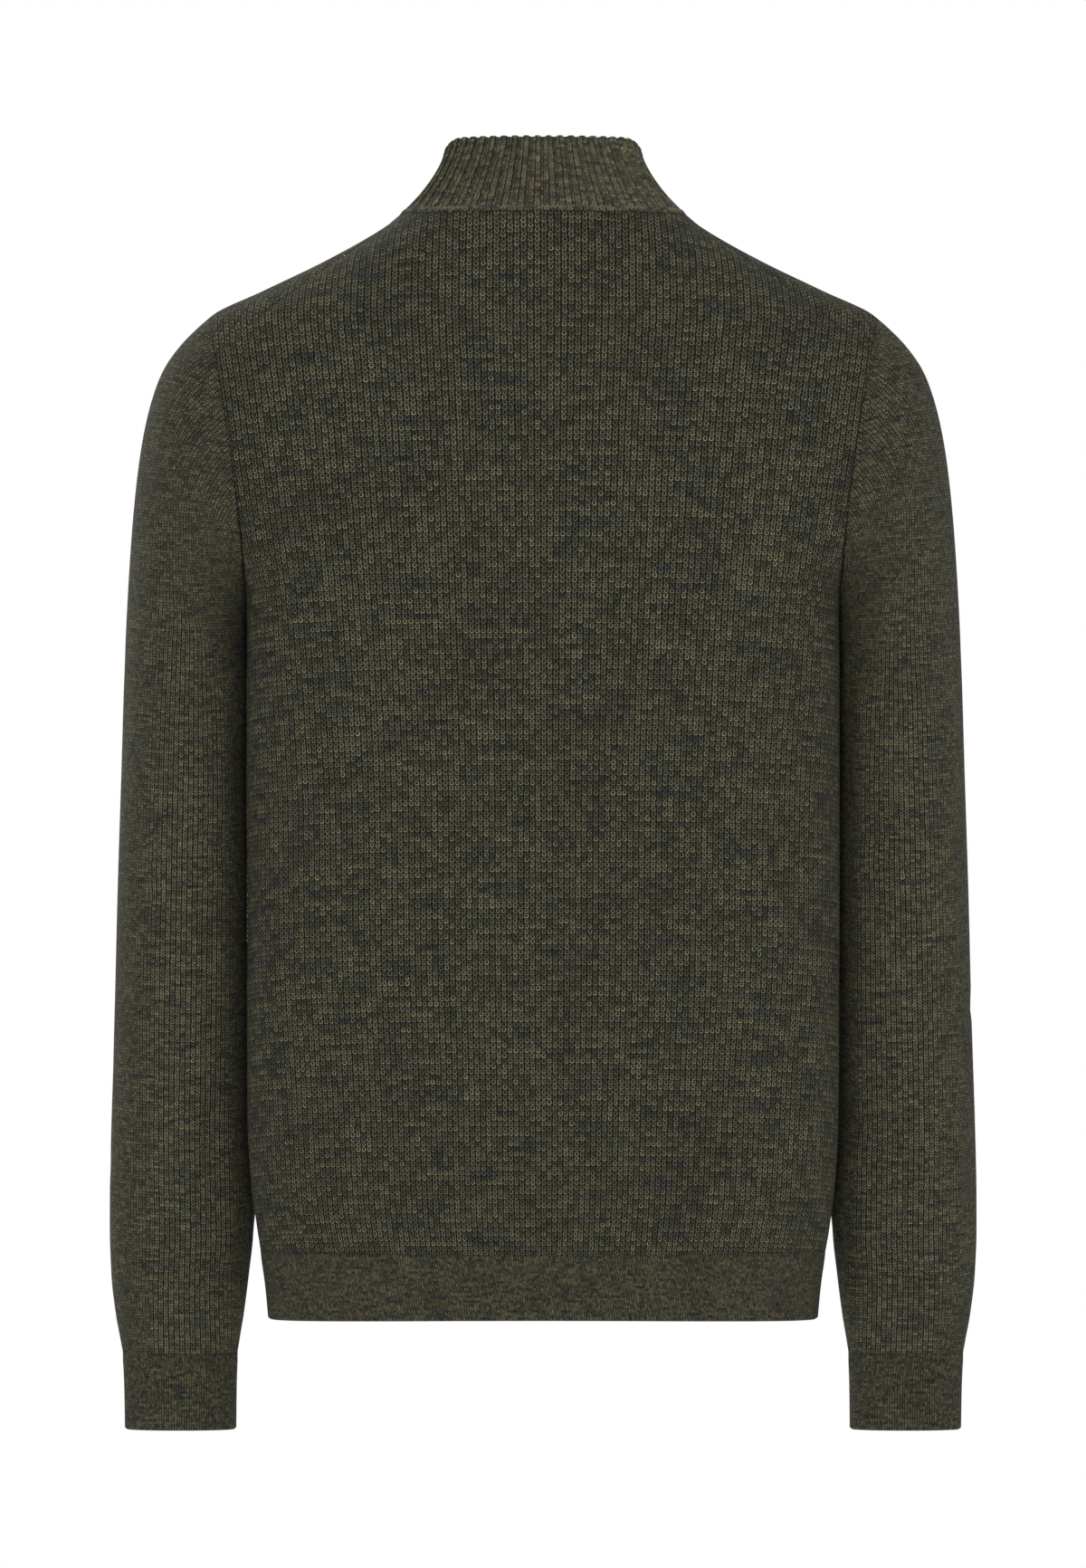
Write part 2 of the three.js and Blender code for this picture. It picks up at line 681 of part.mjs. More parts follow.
const joined = (geometries) => toGeometry(geometries.map(toSolid).reduce((a, b) => a.add(b)));
const cut = (from, by) => toGeometry(toSolid(from).subtract(toSolid(by)));

// The slider in its own frame: -Y is out of the cloth, whose face is y = 0.
function sliderPiece() {
  const behind = ZIP.tapeSink + ZIP.tapeThickness + 2 * SEAM_GAP;
  const plateDepth = SLIDER.plate + SLIDER.backPlate;
  const backY = behind + SLIDER.backPlate / 2;
  const frontPlate = box(SLIDER.width, SLIDER.plate, SLIDER.height, 0, -SLIDER.plate / 2, 0);
  const backPlate = box(SLIDER.width, SLIDER.backPlate, SLIDER.backHeight, 0, backY, 0);
  const postY = (backY - SLIDER.plate / 2) / 2;
  const post = box(POST.width, behind + plateDepth / 2, POST.height, 0, postY, POST.z);
  const archY = -SLIDER.plate - (BRIDGE.rise - BRIDGE.root) / 2;
  const slotRise = BRIDGE.rise - BRIDGE.bar;
  const slotY = -SLIDER.plate - slotRise / 2;
  const slotHeight = BRIDGE.height - 2 * BRIDGE.bar;
  const arch = cut(
    box(BRIDGE.width, BRIDGE.rise + BRIDGE.root, BRIDGE.height, 0, archY, 0),
    box(BRIDGE.width + 1, slotRise, slotHeight, 0, slotY, 0),
  );
  return joined([frontPlate, backPlate, post, arch]);
}

const pullPivot = {
  y: -SLIDER.plate - (BRIDGE.rise - BRIDGE.bar) / 2,
  z: -BRIDGE.height / 2 + BRIDGE.bar + PULL.bar / 2 + PULL.play,
};

// The pull hangs from its cross bar, which runs under the slider's bridge.
function pullPiece() {
  const outline = new THREE.Shape();
  const half = PULL.width / 2;
  const tip = PULL.corner;
  outline.moveTo(-half, PULL.bar / 2);
  outline.lineTo(-half, -PULL.length + tip);
  outline.absarc(-half + tip, -PULL.length + tip, tip, Math.PI, 1.5 * Math.PI);
  outline.absarc(half - tip, -PULL.length + tip, tip, 1.5 * Math.PI, 2 * Math.PI);
  outline.lineTo(half, PULL.bar / 2);
  const eye = new THREE.Path();
  eye.moveTo(-PULL.window / 2, -PULL.bar / 2);
  eye.lineTo(PULL.window / 2, -PULL.bar / 2);
  eye.lineTo(PULL.window / 2, -PULL.bar / 2 - PULL.windowLength);
  eye.lineTo(-PULL.window / 2, -PULL.bar / 2 - PULL.windowLength);
  outline.holes.push(eye);
  const plate = new THREE.ExtrudeGeometry(outline, {
    depth: PULL.thickness,
    bevelEnabled: false,
    curveSegments: 5,
  });
  plate.translate(0, 0, -PULL.thickness / 2);
  plate.rotateX(Math.PI / 2);
  return plate;
}

// ---------- The cardigan ----------

const cardigan = new THREE.Group();
cardigan.name = 'cardigan';

function add(name, geometry, colour, roughness, metalness = 0, parent = cardigan) {
  const material = new THREE.MeshStandardMaterial({ color: colour, roughness, metalness });
  const mesh = new THREE.Mesh(geometry, material);
  mesh.name = name;
  parent.add(mesh);
  return mesh;
}

const addKnit = (name, geometry) => add(name, geometry, CLOTH_COLOUR, 0.95);
const addRib = (name, geometry) => add(name, geometry, RIB_COLOUR, 0.95);

addKnit('back', backPiece());
addRib('hem_back', backHem());
addRib('collar', collarPiece());

const frontShape = frontPiece();
const frontHemShape = frontHem();
const sleeveShape = sleevePiece();
const cuffShape = cuffPiece();
const tapeShape = tapePiece();
const teethShape = teethPiece();
for (const { name, sign } of SIDES) {
  addKnit(`front_${name}`, forSide(frontShape, sign));
  addRib(`hem_front_${name}`, forSide(frontHemShape, sign));
  addKnit(`sleeve_${name}`, forSide(sleeveShape, sign));
  addRib(`cuff_${name}`, forSide(cuffShape, sign));
  add(`zip_tape_${name}`, forSide(tapeShape, sign), TAPE_COLOUR, 0.9);
  add(`zip_teeth_${name}`, forSide(teethShape, sign), METAL_COLOUR, 0.4, 1);
}

// The slider, its pull and the two top stops stand on the collar's leaning front.
const collarFoot = collarAt(frontTurn(neckHalfWidth), 0);
const collarTip = collarAt(frontTurn(COLLAR_TOP.halfWidth), 1);
const zipHead = new THREE.Group();
zipHead.rotation.x = -Math.atan2(collarTip.y - collarFoot.y, collarTip.z - collarFoot.z);
zipHead.position.copy(zipAt({ up: SLIDER.alongCollar }, 0.1).point).setX(0);
cardigan.add(zipHead);
add('zip_slider', sliderPiece(), METAL_COLOUR, 0.35, 1, zipHead);
add('zip_pull', pullPiece(), METAL_COLOUR, 0.35, 1, zipHead).position.set(0, pullPivot.y, pullPivot.z);
const metalY = ZIP.toothSink + ZIP.toothDepth / 2;
for (const { name, sign } of SIDES) {
  const stopX = sign * (ZIP.tapeEdge + STOP.aside);
  const stopShape = box(STOP.width, ZIP.toothDepth, STOP.height, stopX, metalY, STOP.above);
  add(`zip_stop_${name}`, stopShape, METAL_COLOUR, 0.4, 1, zipHead);
}

// The box at the foot of the zip.
const boxFoot = bodyAt(0, HEM_BOTTOM + BOX.lift, -1).point;
const boxHead = bodyAt(0, HEM_BOTTOM + BOX.lift + BOX.height, -1).point;
const zipFoot = new THREE.Group();
zipFoot.rotation.x = -Math.atan2(boxHead.y - boxFoot.y, boxHead.z - boxFoot.z);
zipFoot.position.copy(boxFoot);
cardigan.add(zipFoot);
const boxWidth = 2 * (ZIP.toothWidth + BOX.side);
const boxShape = box(boxWidth, ZIP.toothDepth, BOX.height, 0, metalY, BOX.height / 2);
add('zip_box', boxShape, METAL_COLOUR, 0.4, 1, zipFoot);

export default cardigan;
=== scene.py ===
# %% [markdown]
# # A zip-front knitted cardigan, filled out with no wearer
# The frame holds the cardigan's sizes as plain solids. This lesson dresses it: thin shells of
# marled knit with soft creases, ribbed edges, and a zip of separate teeth. Every piece is worked
# out in the frame's own millimetres, so nothing has to be fitted by eye. We load the frame first
# and keep its box, because the dressed cardigan has to fill the same one.

# %% Load the frame
import math
from functools import partial

import bmesh
import bpy
import numpy as np
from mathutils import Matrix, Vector


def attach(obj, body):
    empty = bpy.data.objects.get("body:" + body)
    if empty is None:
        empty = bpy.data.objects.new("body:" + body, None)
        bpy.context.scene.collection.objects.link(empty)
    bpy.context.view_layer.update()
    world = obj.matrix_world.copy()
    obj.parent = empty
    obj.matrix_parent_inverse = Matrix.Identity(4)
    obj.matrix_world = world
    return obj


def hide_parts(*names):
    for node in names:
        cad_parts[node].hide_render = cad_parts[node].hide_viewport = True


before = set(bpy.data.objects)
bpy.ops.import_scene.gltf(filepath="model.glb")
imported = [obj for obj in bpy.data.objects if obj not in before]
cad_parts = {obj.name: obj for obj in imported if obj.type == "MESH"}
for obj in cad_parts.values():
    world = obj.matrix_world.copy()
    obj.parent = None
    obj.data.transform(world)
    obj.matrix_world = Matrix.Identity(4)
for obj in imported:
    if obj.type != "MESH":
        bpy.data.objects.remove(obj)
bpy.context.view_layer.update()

MM = 0.001
GARMENT, PULL_TAB = "cardigan", "pull_tab"

# %% [markdown]
# ## Curves from short tables
# A pattern cutter measures a few widths and draws one smooth line through them. This helper does
# the same for one column of a table. A plain spline could overshoot between two rows and bulge
# the cloth, so each slope is held back where its neighbours level out.

# %% A smooth line through a table
def line_through(table, key, name):
    ys = np.array([row[name] for row in table], float)
    xs = np.array([row[key] if key else i for i, row in enumerate(table)], float)
    chords = np.diff(ys) / np.diff(xs)
    before, after = chords[:-1], chords[1:]
    total = np.where(before + after == 0, 1, before + after)
    middle = np.where(before * after <= 0, 0, 2 * before * after / total)
    slopes = np.concatenate([chords[:1], middle, chords[-1:]])

    def at(x):
        i = np.clip(np.searchsorted(xs, x, side="left") - 1, 0, len(xs) - 2)
        span = xs[i + 1] - xs[i]
        t = np.clip((x - xs[i]) / span, 0, 1)
        start = ys[i] * (2 * t**3 - 3 * t**2 + 1) + slopes[i] * span * (t**3 - 2 * t**2 + t)
        return start + ys[i + 1] * (3 * t**2 - 2 * t**3) + slopes[i + 1] * span * (t**3 - t**2)

    return at


def table_of(names, *rows):
    return [dict(zip(names.split(), row)) for row in rows]


def ease(t):
    t = np.clip(t, 0, 1)
    return t * t * (3 - 2 * t)


HALVINGS = 45  # they narrow 200 mm down to far less than a nanometre


def crossing(rising, low, high):
    """Where a rising function passes zero, between two arrays of bounds."""
    for _ in range(HALVINGS):
        middle = (low + high) / 2
        below = rising(middle) < 0
        low, high = np.where(below, middle, low), np.where(below, high, middle)
    return (low + high) / 2


def unit(v):
    return v / np.maximum(np.linalg.norm(v, axis=-1, keepdims=True), 1e-12)


# %% [markdown]
# ## The trunk
# On a wearer the trunk is a rounded box that narrows to the neck. It could be sculpted, but one
# formula for its whole surface lets the back, the fronts and the zip all lie on it exactly. Sizes
# are in millimetres, and the origin is the middle of the neck, level with the back collar seam.

# %% The trunk's form
HEM_EDGE, HEM_SEAM = -684, -641
ARMPIT, SHOULDER_POINT = -235, -64
outline = table_of(
    "height half", (-684, 170), (-663, 172), (-629, 177), (-600, 180.6), (-560, 182.9),
    (-420, 183.6), (-250, 183.4), (-235, 184), (-215, 192), (-180, 209), (-135, 221),
    (-100, 222), (-85, 220), (-72, 214), (-64, 207), (-47, 172.2), (-30, 136.9), (-13, 106),
    (-6, 95.5), (0, 88.7))
depths = table_of(
    "height back front side square", (-684, 108, 100, 12, 2.5), (-600, 115, 109, 14, 2.5),
    (-420, 120, 117, 16, 2.5), (-300, 126, 126, 16, 2.5), (-235, 126, 128, 12, 2.5),
    (-180, 118, 122, 6, 2.5), (-125, 104, 109, 3, 2.4), (-85, 89, 94, 1, 2.3),
    (-64, 80, 84.5, 0, 2.2), (-30, 68, 70, 0, 2.1), (0, 62, 60, 0, 2))
half_width = line_through(outline, "height", "half")
to_back, to_front, side_y, square = (
    line_through(depths, "height", name) for name in ("back", "front", "side", "square"))


def trunk_depth(z, facing):
    return np.where(facing > 0, to_back(z) - side_y(z), to_front(z) + side_y(z))


def trunk_form(p):
    x, y, z = p[..., 0], p[..., 1], p[..., 2]
    aside, n = y - side_y(z), square(z)
    return (np.abs(x) / half_width(z)) ** n + (np.abs(aside) / trunk_depth(z, aside)) ** n - 1


def onto_trunk(p, probe=0.2, rounds=12):
    """Slides points onto the trunk along its own slope, measured a probe's length each way."""
    for _ in range(rounds):
        slope = np.stack([(trunk_form(p + s) - trunk_form(p - s)) / (2 * probe)
                          for s in probe * np.eye(3)], -1)
        p = p - slope * (trunk_form(p) / (slope**2).sum(-1))[..., None]
    return p


def trunk_at(x, z, facing):
    x, z = np.broadcast_arrays(np.asarray(x, float), np.asarray(z, float))
    n = square(z)
    across = np.minimum(np.abs(x) / half_width(z), 1)
    y = side_y(z) + facing * trunk_depth(z, facing) * (1 - across**n) ** (1 / n)
    return np.stack([x, y, z], -1)


print("trunk is", 2 * float(half_width(ARMPIT)), "mm wide at the armpits")

# %% [markdown]
# ## Seam lines
# Fully fashioned knitting shapes each panel to its edges: the neckline, the shoulder seam, which
# lies a little behind the ridge of the shoulder, and the armhole. Each is one function, so two
# panels that meet are given the very same line.

# %% Neckline, shoulder seam and armhole
ARMHOLE_BEND, SEAM_BEND, SEAM_END, NECK_FRONT = 1.5, 1.6, -87, 88
CLOTH_EDGE = 4.2  # half the gap between the two fronts, where the zip shows
armhole_mid, armhole_half = (SHOULDER_POINT + ARMPIT) / 2, (SHOULDER_POINT - ARMPIT) / 2
neck_half = float(half_width(0))


def armhole_x(z):
    up = np.clip((z - ARMPIT) / (2 * armhole_half), 0, 1) ** ARMHOLE_BEND
    return half_width(ARMPIT) + (half_width(SHOULDER_POINT) - half_width(ARMPIT)) * up


def armhole_at(turn):
    """0 is the shoulder point, 180 the armpit, and turns above 0 lie on the back."""
    angle = np.radians(turn)
    z = armhole_mid + armhole_half * np.cos(angle)
    return trunk_at(armhole_x(z), z, np.where(np.sin(angle) >= -1e-9, 1, -1))


def ridge_height(x):
    x = np.asarray(x, float)
    low = np.full(x.shape, float(SHOULDER_POINT))
    return crossing(lambda z: x - half_width(z), low, 0 * low)


seam_end_turn = math.degrees(math.acos((SEAM_END - armhole_mid) / armhole_half))
seam_end_x = float(armhole_x(SEAM_END))


def shoulder_seam(along):
    x = neck_half + (seam_end_x - neck_half) * along
    drop = (ridge_height(seam_end_x) - SEAM_END) * along**SEAM_BEND
    return trunk_at(x, ridge_height(x) - drop, 1)


def neckline_at(turn):
    """90 is the middle of the back, 0 the side, and turns below 0 lie on the front."""
    turn = np.asarray(turn, float)
    x, sine = neck_half * np.cos(np.radians(turn)), np.sin(np.radians(turn))
    y = np.where(turn >= 0, to_back(0), NECK_FRONT) * sine
    lowest = np.full(x.shape, float(ARMPIT))
    fallen = crossing(lambda z: trunk_form(np.stack([x, y, z], -1)), lowest, 0 * lowest)
    return np.stack([x, y, np.where(turn >= 0, 0, fallen)], -1)


print("front neckline is at height", round(float(neckline_at(-87.0)[2]), 1), "mm")

# %% [markdown]
# ## Panels of the trunk
# A panel is a grid of points, with rows across and columns upright. Below the armpit its rows
# are level. Above it, the grid is blended from its four edges and laid onto the trunk, so that it
# ends exactly on the neckline, the shoulder seam and the armhole.

# %% Grids for the back and the fronts
COLUMNS, ROWS_BELOW, ROWS_ABOVE = 68, 96, 60
FINE = 1201  # points along a curve when its length is measured


def lengths(points, axis):
    step = np.linalg.norm(np.diff(points, axis=axis), axis=-1)
    return np.concatenate([np.zeros_like(np.take(step, [0], axis)), step.cumsum(axis)], axis)


def even_widths(start, facing):
    full = float(half_width(ARMPIT))
    fine = full * np.cos(math.acos(start / full) * (1 - np.linspace(0, 1, FINE)))
    length = lengths(trunk_at(fine, ARMPIT, facing), 0)
    return np.interp(np.linspace(0, length[-1], COLUMNS + 1), length, fine)


def half_panel(start, facing, neck_turn):
    widths = even_widths(start, facing)
    heights = np.linspace(HEM_SEAM, ARMPIT, ROWS_BELOW + 1)[:-1, None]
    below = level_rows(heights, widths, start, facing)
    across, up = np.linspace(0, 1, COLUMNS + 1), np.linspace(0, 1, ROWS_ABOVE + 1)
    neck = neckline_at(neck_turn * (1 - np.minimum(2 * across, 1)))
    shoulder = shoulder_seam(np.clip(2 * across - 1, 0, 1))
    top = np.where((across <= 0.5)[:, None], neck, shoulder)
    bottom = trunk_at(widths, ARMPIT, facing)
    inner = trunk_at(start, ARMPIT + (top[0, 2] - ARMPIT) * up, facing)
    outer = armhole_at(180 * facing + (seam_end_turn - 180 * facing) * up)
    a, u = across[None, :, None], up[:, None, None]
    corners = ((inner[0] * (1 - a) + outer[0] * a) * (1 - u)
               + (inner[-1] * (1 - a) + outer[-1] * a) * u)
    blend = inner[:, None] * (1 - a) + outer[:, None] * a + bottom * (1 - u) + top * u - corners
    above = onto_trunk(blend)
    above[0], above[-1], above[:, 0], above[:, -1] = bottom, top, inner, outer
    return np.concatenate([below, above])


def level_rows(heights, widths, start, facing):
    x = widths * (half_width(heights) / half_width(ARMPIT))
    x[:, 0] = start
    return trunk_at(x, heights, facing)


def both_sides(half):
    """A half panel and its mirror image, with columns running from +X to -X."""
    return np.concatenate([half[:, ::-1], half[:, 1:] * [-1, 1, 1]], 1)


front_turn = -math.degrees(math.acos(CLOTH_EDGE / neck_half))
back_half = half_panel(0.0, 1, 90.0)
front_half = half_panel(CLOTH_EDGE, -1, front_turn)
print("half back", back_half.shape, "front", front_half.shape)

# %% [markdown]
# ## Creases placed one by one
# A filled-out cardigan doesn't hang like a balloon. It breaks softly from the armpits and at the
# elbows, blouses over the hem and keeps a faint press line. A cloth simulation would put these
# by chance, so each crease is one row here: where its middle line starts and ends, how wide and
# how deep it is (above 0 is a ridge), and whether it shows on the back (1), on the front (-1) or
# all round (0). They are uneven, and the hidden sides get similar ones.

# %% The crease table
CREASE = "x1 z1 x2 z2 wide deep facing"
creases = {
    "back": table_of(
        CREASE,
        (8, -22, 8, -335, 6, 0.7, 1), (158, -430, 100, -565, 42, -3.0, 1),
        (172, -627, 100, -632, 8, -2.2, 1), (100, -630, -60, -627, 8, -0.9, 1),
        (-60, -627, -160, -631, 8, -1.3, 1), (166, -270, 96, -340, 15, -2.0, 1),
        (-168, -258, -108, -308, 13, -1.6, 1), (-128, -300, -150, -485, 30, -1.9, 1),
        (66, -385, -28, -383, 15, 0.9, 1), (66, -150, 112, -262, 38, 1.4, 1),
        (-60, -140, -104, -250, 36, 1.1, 1), (-168, -560, -90, -588, 16, -1.2, 1)),
    "front": table_of(
        CREASE,
        (176, -258, 92, -325, 14, -1.9, -1), (130, -420, 60, -520, 36, -2.4, -1),
        (18, -300, 66, -350, 12, -1.1, -1), (18, -560, 76, -592, 13, -1.2, -1),
        (160, -628, 30, -631, 8, -1.5, -1), (40, -150, 130, -220, 34, 1.2, -1)),
    "sleeve_left": table_of(
        CREASE,
        (244, -535, 243, -640, 19, -2.4, 1), (219, -560, 218, -680, 8, 1.2, 1),
        (204, -398, 240, -420, 10, -1.8, 0), (196, -455, 240, -444, 9, -1.3, -1),
        (206, -300, 243, -282, 13, -1.3, 1), (262, -590, 226, -612, 9, -1.1, -1)),
    "sleeve_right": table_of(
        CREASE,
        (-221, -487, -268, -491, 5, -1.6, 1), (-253, -262, -256, -690, 3.5, 0.6, 1),
        (-204, -384, -236, -412, 10, -1.8, 0), (-196, -470, -238, -450, 9, -1.3, -1),
        (-208, -296, -244, -276, 12, -1.2, 1), (-188, -560, -224, -590, 10, -1.2, 1))}
# Where a sleeve leans on the body, both sleeves have the same ridges, with x taken outwards.
leaning = table_of(
    CREASE,
    (184, -238, 184, -258, 9, 1.7, 0), (184, -284, 183, -305, 11, 1.0, 0),
    (198, -300, 195, -640, 7, 2.3, 1), (183, -590, 181, -618, 9, 1.3, 0))
for piece, sign in (("sleeve_left", 1), ("sleeve_right", -1)):
    creases[piece] += [{**row, "x1": sign * row["x1"], "x2": sign * row["x2"]} for row in leaning]


def outward(points, ring=False):
    closed = np.concatenate([points[:, -1:], points, points[:, :1]], 1) if ring else points
    across, up = np.gradient(closed, axis=1), np.gradient(closed, axis=0)
    normals = unit(np.cross(across, up))
    return normals[:, 1:-1] if ring else normals


def dressed(piece, points, seams, ring=False, groove=0.35, reach=1.4):
    """Moves a grid in or out by its creases. It also sinks a groove along the linked seams, whose
    reach is counted in rows or columns of the grid."""
    normals = outward(points, ring)
    push = np.zeros(points.shape[:2])
    for row in creases.get(piece, ()):
        start = np.array([row["x1"], row["z1"]])
        along = np.array([row["x2"], row["z2"]]) - start
        place = points[..., [0, 2]] - start
        nearest = np.clip((place @ along) / (along @ along), 0, 1)[..., None] * along
        away = np.linalg.norm(place - nearest, axis=-1) / row["wide"]
        shown = ease(0.5 + 0.9 * row["facing"] * normals[..., 1]) if row["facing"] else 1
        push += row["deep"] * np.exp(-(away**2)) * shown
    r, c = np.indices(push.shape)
    steps = {"bottom": r, "top": r[::-1], "low_side": c, "high_side": c[:, ::-1]}
    push -= groove * sum(np.exp(-((steps[seam] / reach) ** 2)) for seam in seams)
    return points + normals * push[..., None]


print(sum(map(len, creases.values())), "creases")

# %% [markdown]
# ## From a grid to cloth
# Knitted cloth is thin but not flat, so each piece is a closed shell: an outer face, an inner
# face one wall behind it, and a rim. A Solidify modifier could do that, but building it here
# keeps the seams exact and rounds only the edges that end in the open. Each corner also carries
# its place counted in stitches, wales across and courses up, which every knit finish reads.

# %% Cloth from a grid
WALL = 2.6
EDGE_ROUND = 0.45  # how far a free edge swells out, as a share of the wall


def as_cloth(name, points, stitches, finish, ring=False, free=(), wall=WALL):
    rows, columns = points.shape[:2]
    index = np.arange(rows * columns).reshape(rows, columns)
    label = np.arange(stitches[..., 0].size).reshape(stitches.shape[:2])
    inside = points - outward(points, ring) * wall
    if ring:
        index = np.concatenate([index, index[:, :1]], 1)
    outer_at, inner_at = points.reshape(-1, 3), inside.reshape(-1, 3)
    shift, vertices, count = rows * columns, [outer_at, inner_at], 2 * rows * columns

    def quads(g):
        return np.stack([g[:-1, :-1], g[:-1, 1:], g[1:, 1:], g[1:, :-1]], -1).reshape(-1, 4)

    faces = [quads(index), quads(index)[:, ::-1] + shift]
    tags = [quads(label), quads(label)[:, ::-1]]
    edges = {"bottom": (0, 1, slice(None), 1), "top": (-1, -2, slice(None, None, -1), 1),
             "high_side": (-1, -2, slice(None), 0), "low_side": (0, 1, slice(None, None, -1), 0)}
    for edge, (at, beside, order, is_row) in edges.items():
        if ring and not is_row:
            continue
        take = (lambda g, i: g[i] if is_row else g[:, i])
        line, tag = take(index, at)[order], take(label, at)[order]
        steps = [(line, line + shift)]
        if edge in free:
            away = unit(outer_at[line] - outer_at[take(index, beside)[order]])
            if not ring:
                away[[0, -1]] = 0  # the corners stay closed
            middle = np.arange(len(line)) + count
            if ring:
                middle[-1] = middle[0]
            vertices.append((outer_at[line] + inner_at[line]) / 2 + EDGE_ROUND * wall * away)
            count += len(line)
            steps = [(line, middle), (middle, line + shift)]
        for front, behind in steps:
            faces.append(np.stack([front[1:], front[:-1], behind[:-1], behind[1:]], -1))
            tags.append(np.stack([tag[1:], tag[:-1], tag[:-1], tag[1:]], -1))
    return as_piece(name, np.concatenate(vertices), np.concatenate(faces).tolist(), finish,
                    stitches.reshape(-1, 2)[np.concatenate(tags).ravel()])


def as_piece(name, vertices, faces, finish, stitches=None):
    mesh = bpy.data.meshes.new(name)
    mesh.from_pydata(vertices * MM, [], faces)
    if stitches is not None:
        layer = mesh.uv_layers.new(name="stitches")
        layer.data.foreach_set("uv", np.asarray(stitches, np.float32).ravel())
    return finished(name, mesh, finish)


def finished(name, mesh, finish, body=GARMENT):
    """Makes a piece on a body from a mesh and a finish, which is a material."""
    mesh.polygons.foreach_set("use_smooth", np.ones(len(mesh.polygons), bool))
    mesh.materials.append(finish[0])
    piece = in_scene(name, mesh)
    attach(piece, body)
    print(name, "has", sum(len(p.vertices) - 2 for p in mesh.polygons), "triangles")
    return piece


def in_scene(name, data):
    made = bpy.data.objects.new(name, data)
    bpy.context.scene.collection.objects.link(made)
    return made


def declare_cut(piece, points, ring=False):
    """Works out how large the piece was cut, measured over its outer face, and prints it."""
    if ring:
        points = np.concatenate([points, points[:, :1]], 1)
    corner = points[:-1, :-1]
    across, up = points[:-1, 1:] - corner, points[1:, :-1] - corner
    area = float(np.linalg.norm(np.cross(across, up), axis=-1).sum()) * MM * MM
    flat = (float(lengths(points, 1)[:, -1].max()) * MM, float(lengths(points, 0)[-1].max()) * MM)
    # No piece covers more than the box it is cut from, or much less than a third of it.
    area = min(max(area, 0.31 * flat[0] * flat[1]), flat[0] * flat[1])
    print(piece.name, "cut", [round(1000 * side) for side in flat], "mm,", round(area, 4), "m2")


# %% [markdown]
# ## Colours and nodes
# Hex colours are sRGB, but a shader works in linear light, so one function turns them. Another
# adds a node with its settings and its links, which keeps each recipe short enough to read.

# %% One colour helper and one node helper
def paint(hex_value):
    parts = [int(hex_value[i:i + 2], 16) / 255 for i in (1, 3, 5)]
    return (*[c / 12.92 if c <= 0.04045 else ((c + 0.055) / 1.055) ** 2.4 for c in parts], 1)


def add_node(tree, kind, inputs=(), operation=None, out=0, **settings):
    """Adds a shader node. inputs are its values or links, in order or by name."""
    made = tree.nodes.new("ShaderNode" + kind)
    if operation:
        made.operation = operation
    for key, value in settings.items():
        setattr(made, key, value)
    for key, value in inputs.items() if isinstance(inputs, dict) else enumerate(inputs):
        if isinstance(value, bpy.types.NodeSocket):
            tree.links.new(value, made.inputs[key])
        else:
            made.inputs[key].default_value = value
    return made.outputs[out] if made.outputs else made


COLOURS = {"out": 2, "data_type": "RGBA"}  # for a Mix of two colours
SMOOTH = {"interpolation_type": "SMOOTHSTEP"}  # for a MapRange that eases in and out
PLANE = {"noise_dimensions": "2D"}  # for a noise that lies flat on the cloth


def new_material(name):
    material = bpy.data.materials.new(name)
    material.use_nodes = True
    material.node_tree.nodes.clear()
    return material, partial(add_node, material.node_tree)


# %% [markdown]
# ## Marled knit
# The yarn is made of an olive and a dark navy strand spun together, so its colour changes every
# few stitches and runs in short streaks along the courses. Each stitch is a U of yarn with a hole
# in it. There are over a hundred thousand of them, so they aren't modelled: their height and
# colour come from the stitch counts, and a bump gives them depth. Their low places, the holes, the
# gaps between the wales and the tips of the legs, are painted towards a near black, as the shade
# that falls there. Spun wool is matt, and the loose fibres on it catch a little sheen.

# %% The knit's recipe
# The last colour is not the yarn's: it is a near black, painted as the shade in the holes and
# between the wales.
NAVY, OLIVE, BROWN, HOLE_SHADE = "#42464a", "#85815d", "#7c6a4c", "#0a0a08"
U_HALF, SQUASH, U_MIDDLE = 0.56, 1.6, 0.48  # of a stitch's ring: radius, squash and middle
BOW_HALF, BOW_MIDDLE = 0.32, 0.42  # the same for the bow of the stitch behind


